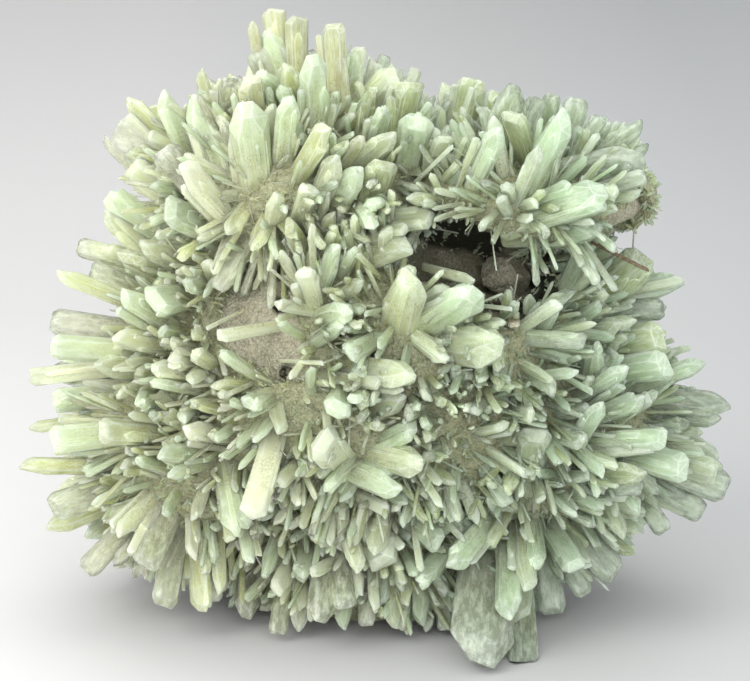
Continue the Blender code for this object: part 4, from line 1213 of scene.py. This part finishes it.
def druse(surface, seed):
    """Tiny crystals scattered over a surface, standing on it at different angles."""
    draw = random.Random(seed)
    surface.calc_loop_triangles()
    triangles = surface.loop_triangles
    areas = np.zeros(len(triangles), dtype=np.float32)
    triangles.foreach_get("area", areas)
    reach = np.cumsum(areas)
    picks = np.searchsorted(reach, [draw.uniform(0, float(reach[-1])) for _ in range(DRUSE_COUNT)])
    tiny = Crystals()
    for pick in picks:
        triangle = triangles[min(int(pick), len(triangles) - 1)]
        corners = [surface.vertices[i].co for i in triangle.vertices]
        a, b = sorted((draw.random(), draw.random()))
        place = corners[0] * a + corners[1] * (b - a) + corners[2] * (1 - b)
        lean = Vector((draw.uniform(-1, 1), draw.uniform(-1, 1), draw.uniform(-1, 1))) * DRUSE_TILT
        way = (Vector(triangle.normal) + lean).normalized()
        height = draw.uniform(*DRUSE_HEIGHTS) * MM
        width = draw.uniform(*DRUSE_WIDTHS) * MM
        tone = draw.choice(DRUSE_TONES)
        tip = place + way * height
        if tip.z < LOWEST_TIP:
            continue
        blade = Blade(place, tip, width, "leaf", tone, way.orthogonal(), draw)
        blade.root = place - way * 0.6 * MM
        tiny.add_spike(blade, draw)
    return tiny


def needles(seed):
    """Thin white needles that stand between the blades."""
    draw = random.Random(seed)
    thin = Crystals()
    for place, outward in spray_points(NEEDLE_SPACING, draw):
        if not on_crust(place, 0.0):
            continue
        for _ in range(draw.choice((0, 1, 1, 2))):
            lean = Vector((draw.uniform(-1, 1), draw.uniform(-1, 1), draw.uniform(-1, 1))) * NEEDLE_TILT
            way = (outward + lean).normalized()
            length = kept_inside(place, way, draw.uniform(*NEEDLE_LENGTHS) * MM, 6 * MM)
            if length:
                width = draw.uniform(*NEEDLE_WIDTHS) * MM
                blade = Blade(place, place + way * length, width, "leaf", "white", way.orthogonal(), draw)
                thin.add_spike(blade, draw)
    return thin


# The lights: name, place, size, power and colour.
LIGHTS = [
    ("key", (-0.7, -0.6, 0.75), (0.8, 0.8), 5.2, (1.0, 0.99, 0.97)),
    ("front", (0.05, -1.0, 0.45), (0.7, 0.7), 3.2, (0.98, 0.99, 1.0)),
    ("top", (0.0, 0.3, 0.9), (0.8, 0.5), 2.0, (1.0, 1.0, 1.0)),
]
ROOM_COLOUR = (0.9, 0.92, 0.94, 1)
ROOM_STRENGTH = 0.86
SWEEP_HALF_WIDTH = 2.0
SWEEP_FRONT = -1.6
SWEEP_BEND = 1.2
SWEEP_RADIUS = 0.5
SWEEP_TOP = 1.8


def look_at(obj, target):
    obj.rotation_euler = (target - obj.location).to_track_quat("-Z", "Y").to_euler()


def area_light(name, place, size, power, colour):
    light = bpy.data.lights.new(name, "AREA")
    light.shape = "RECTANGLE"
    light.size, light.size_y = size
    light.energy = power
    light.color = colour
    obj = bpy.data.objects.new(name, light)
    obj.location = place
    bpy.context.scene.collection.objects.link(obj)
    look_at(obj, VIEW_MIDDLE)


def floor_material():
    """Matt paper, with painted shade: greyer to the right and toward the back, where the key light falls
    off.
    """
    material = bpy.data.materials.new("paper")
    material.use_nodes = True
    tree = material.node_tree
    shader = tree.nodes["Principled BSDF"]
    place = node(tree, "ShaderNodeTexCoord").outputs["Object"]
    parts = node(tree, "ShaderNodeSeparateXYZ")
    link(tree, place, parts.inputs[0])
    pale = node(tree, "ShaderNodeRGB")
    pale.outputs[0].default_value = (0.96, 0.94, 0.915, 1)
    # Painted shade: the paper greys toward the right and the back, where the key light falls off.
    right = mixed(tree, mapped(tree, parts.outputs["X"], -0.12, 0.16), pale.outputs[0], (0.60, 0.615, 0.61))
    painted_back_shade = times(tree, mapped(tree, parts.outputs["Y"], -0.04, 0.3), 0.45)
    body = mixed(tree, painted_back_shade, right, (0.54, 0.54, 0.54))
    link(tree, body, shader.inputs["Base Color"])
    fibres = clouds(tree, place, (60, 60, 60), 2.0)
    bump = node(tree, "ShaderNodeBump")
    bump.inputs["Strength"].default_value = 0.02
    link(tree, fibres, bump.inputs["Height"])
    link(tree, bump.outputs["Normal"], shader.inputs["Normal"])
    shader.inputs["Roughness"].default_value = 0.6
    return material


def studio():
    """A pale sweep, a soft key from the upper left, soft light from the front and above, and a camera."""
    sweep = bmesh.new()
    profile = [(SWEEP_FRONT, 0.0), (SWEEP_BEND, 0.0)]
    for i in range(1, 13):
        angle = i / 12 * math.pi / 2
        rise = SWEEP_RADIUS - SWEEP_RADIUS * math.cos(angle)
        profile.append((SWEEP_BEND + SWEEP_RADIUS * math.sin(angle), rise))
    profile.append((SWEEP_BEND + SWEEP_RADIUS, SWEEP_TOP))
    rows = []
    for y, z in profile:
        rows.append([sweep.verts.new((x, y, z)) for x in (-SWEEP_HALF_WIDTH, SWEEP_HALF_WIDTH)])
    for low, high in zip(rows, rows[1:]):
        sweep.faces.new((low[0], low[1], high[1], high[0]))
    mesh = bpy.data.meshes.new("sweep")
    sweep.to_mesh(mesh)
    sweep.free()
    mesh.materials.append(floor_material())
    for polygon in mesh.polygons:
        polygon.use_smooth = True
    floor = bpy.data.objects.new("sweep", mesh)
    bpy.context.scene.collection.objects.link(floor)
    for name, place, size, power, colour in LIGHTS:
        area_light(name, Vector(place), size, power, colour)
    world = bpy.data.worlds.new("room")
    world.use_nodes = True
    background = world.node_tree.nodes["Background"]
    background.inputs["Color"].default_value = ROOM_COLOUR
    background.inputs["Strength"].default_value = ROOM_STRENGTH
    bpy.context.scene.world = world
    camera = bpy.data.cameras.new("camera")
    camera.lens = VIEW_DISTANCE / VIEW_WIDTH * 36
    camera.sensor_width = 36
    camera.clip_start = 0.01
    eye = bpy.data.objects.new("camera", camera)
    eye.location = VIEW_MIDDLE + TO_VIEWER * VIEW_DISTANCE
    bpy.context.scene.collection.objects.link(eye)
    look_at(eye, VIEW_MIDDLE)
    bpy.context.scene.camera = eye
    scene = bpy.context.scene
    scene.view_settings.view_transform = "Standard"
    scene.cycles.use_denoising = True
    scene.cycles.max_bounces = 4
    scene.cycles.diffuse_bounces = 1
    scene.cycles.glossy_bounces = 2
    scene.cycles.transmission_bounces = 3
    scene.cycles.caustics_reflective = False
    scene.cycles.caustics_refractive = True


SPOTS = list(bare_spots())
PIT_PLACES = list(pit_places())


def main():
    studio()
    gypsum = crystal_material()
    host = rock_material("host_rock", (0.33, 0.31, 0.20), (0.76, 0.72, 0.54), (0.15, 0.12, 0.07))
    crust_finish = rock_material("crust", (0.33, 0.34, 0.18), (0.68, 0.69, 0.45), (0.20, 0.18, 0.07))
    rust = rock_material("brown", (0.12, 0.09, 0.05), (0.32, 0.25, 0.15), (0.06, 0.04, 0.02))
    rock = lumps_mesh(0.0, 0.0, False, 1.3 * MM, 0.35 * MM, 3.0)
    piece("matrix_rock", rock, host, "matrix")
    crust = lumps_mesh(CRUST_THICKNESS, 1.5 * MM, True, 1.3 * MM, 0.4 * MM, 9.0)
    piece("crystal_crust", crust, crust_finish, "crystals")
    named = list(blades_of(FRONT_BLADES, 11))
    solid = [*named, *fill_blades(named), *hidden_blades()]
    foci = [in_view(right, up, on_rock(right, up)) for right, up in SPRAY_FOCI]
    foci += [place for place, _ in hidden_sprays()]
    draw = random.Random(31)
    large = Crystals()
    for blade in solid:
        large.add(blade, draw, bevel=min(0.2 * MM, 0.035 * blade.width))
        if blade.width > 4.2 * MM and blade.tone not in ("clear", "glass"):
            for rib in ribs(blade, draw):
                large.add(rib, draw, bevel=0.1 * MM)
    beside = Crystals()
    for blade in solid:
        if blade.width > 4.5 * MM:
            for companion in companions(blade, draw):
                beside.add(companion, draw, bevel=0.12 * MM)
    for blade in small_blades(foci, *SIDE_KIND, SMALL_TONES):
        middle = blade.root + blade.way * (ROOT_LENGTH + 0.6 * (blade.tip - blade.root).length)
        if min(distance_to(other, middle) - 0.3 * other.width for other in solid) > 0.8 * MM:
            beside.add(blade, draw, bevel=0.12 * MM)
            for rib in ribs(blade, draw):
                beside.add(rib, draw)
    small = Crystals()
    for blade in blades_of(SMALL_BLADES, 13):
        small.add(blade, draw, bevel=0.08 * MM)
    for kind in SMALL_KINDS:
        for blade in small_blades(foci, *kind, SMALL_TONES):
            small.add(blade, draw)
    splinters = Crystals()
    for blade in small_blades(foci, *SLIVER_KIND, SLIVER_TONES):
        splinters.add(blade, draw)
    thin = needles(47)
    fine = druse(crust, 53)
    stick = Crystals()
    for blade in blades_of([BROWN_SPLINTER], 15):
        stick.add(blade, draw)
    gathered = {
        "large_blades": large,
        "side_blades": beside,
        "small_blades": small,
        "splinters": splinters,
        "needles": thin,
        "druse": fine,
    }
    for name, made in gathered.items():
        belongs(made.build(name, gypsum), "crystals")
    belongs(stick.build("brown_splinter", rust), "crystals")


main()
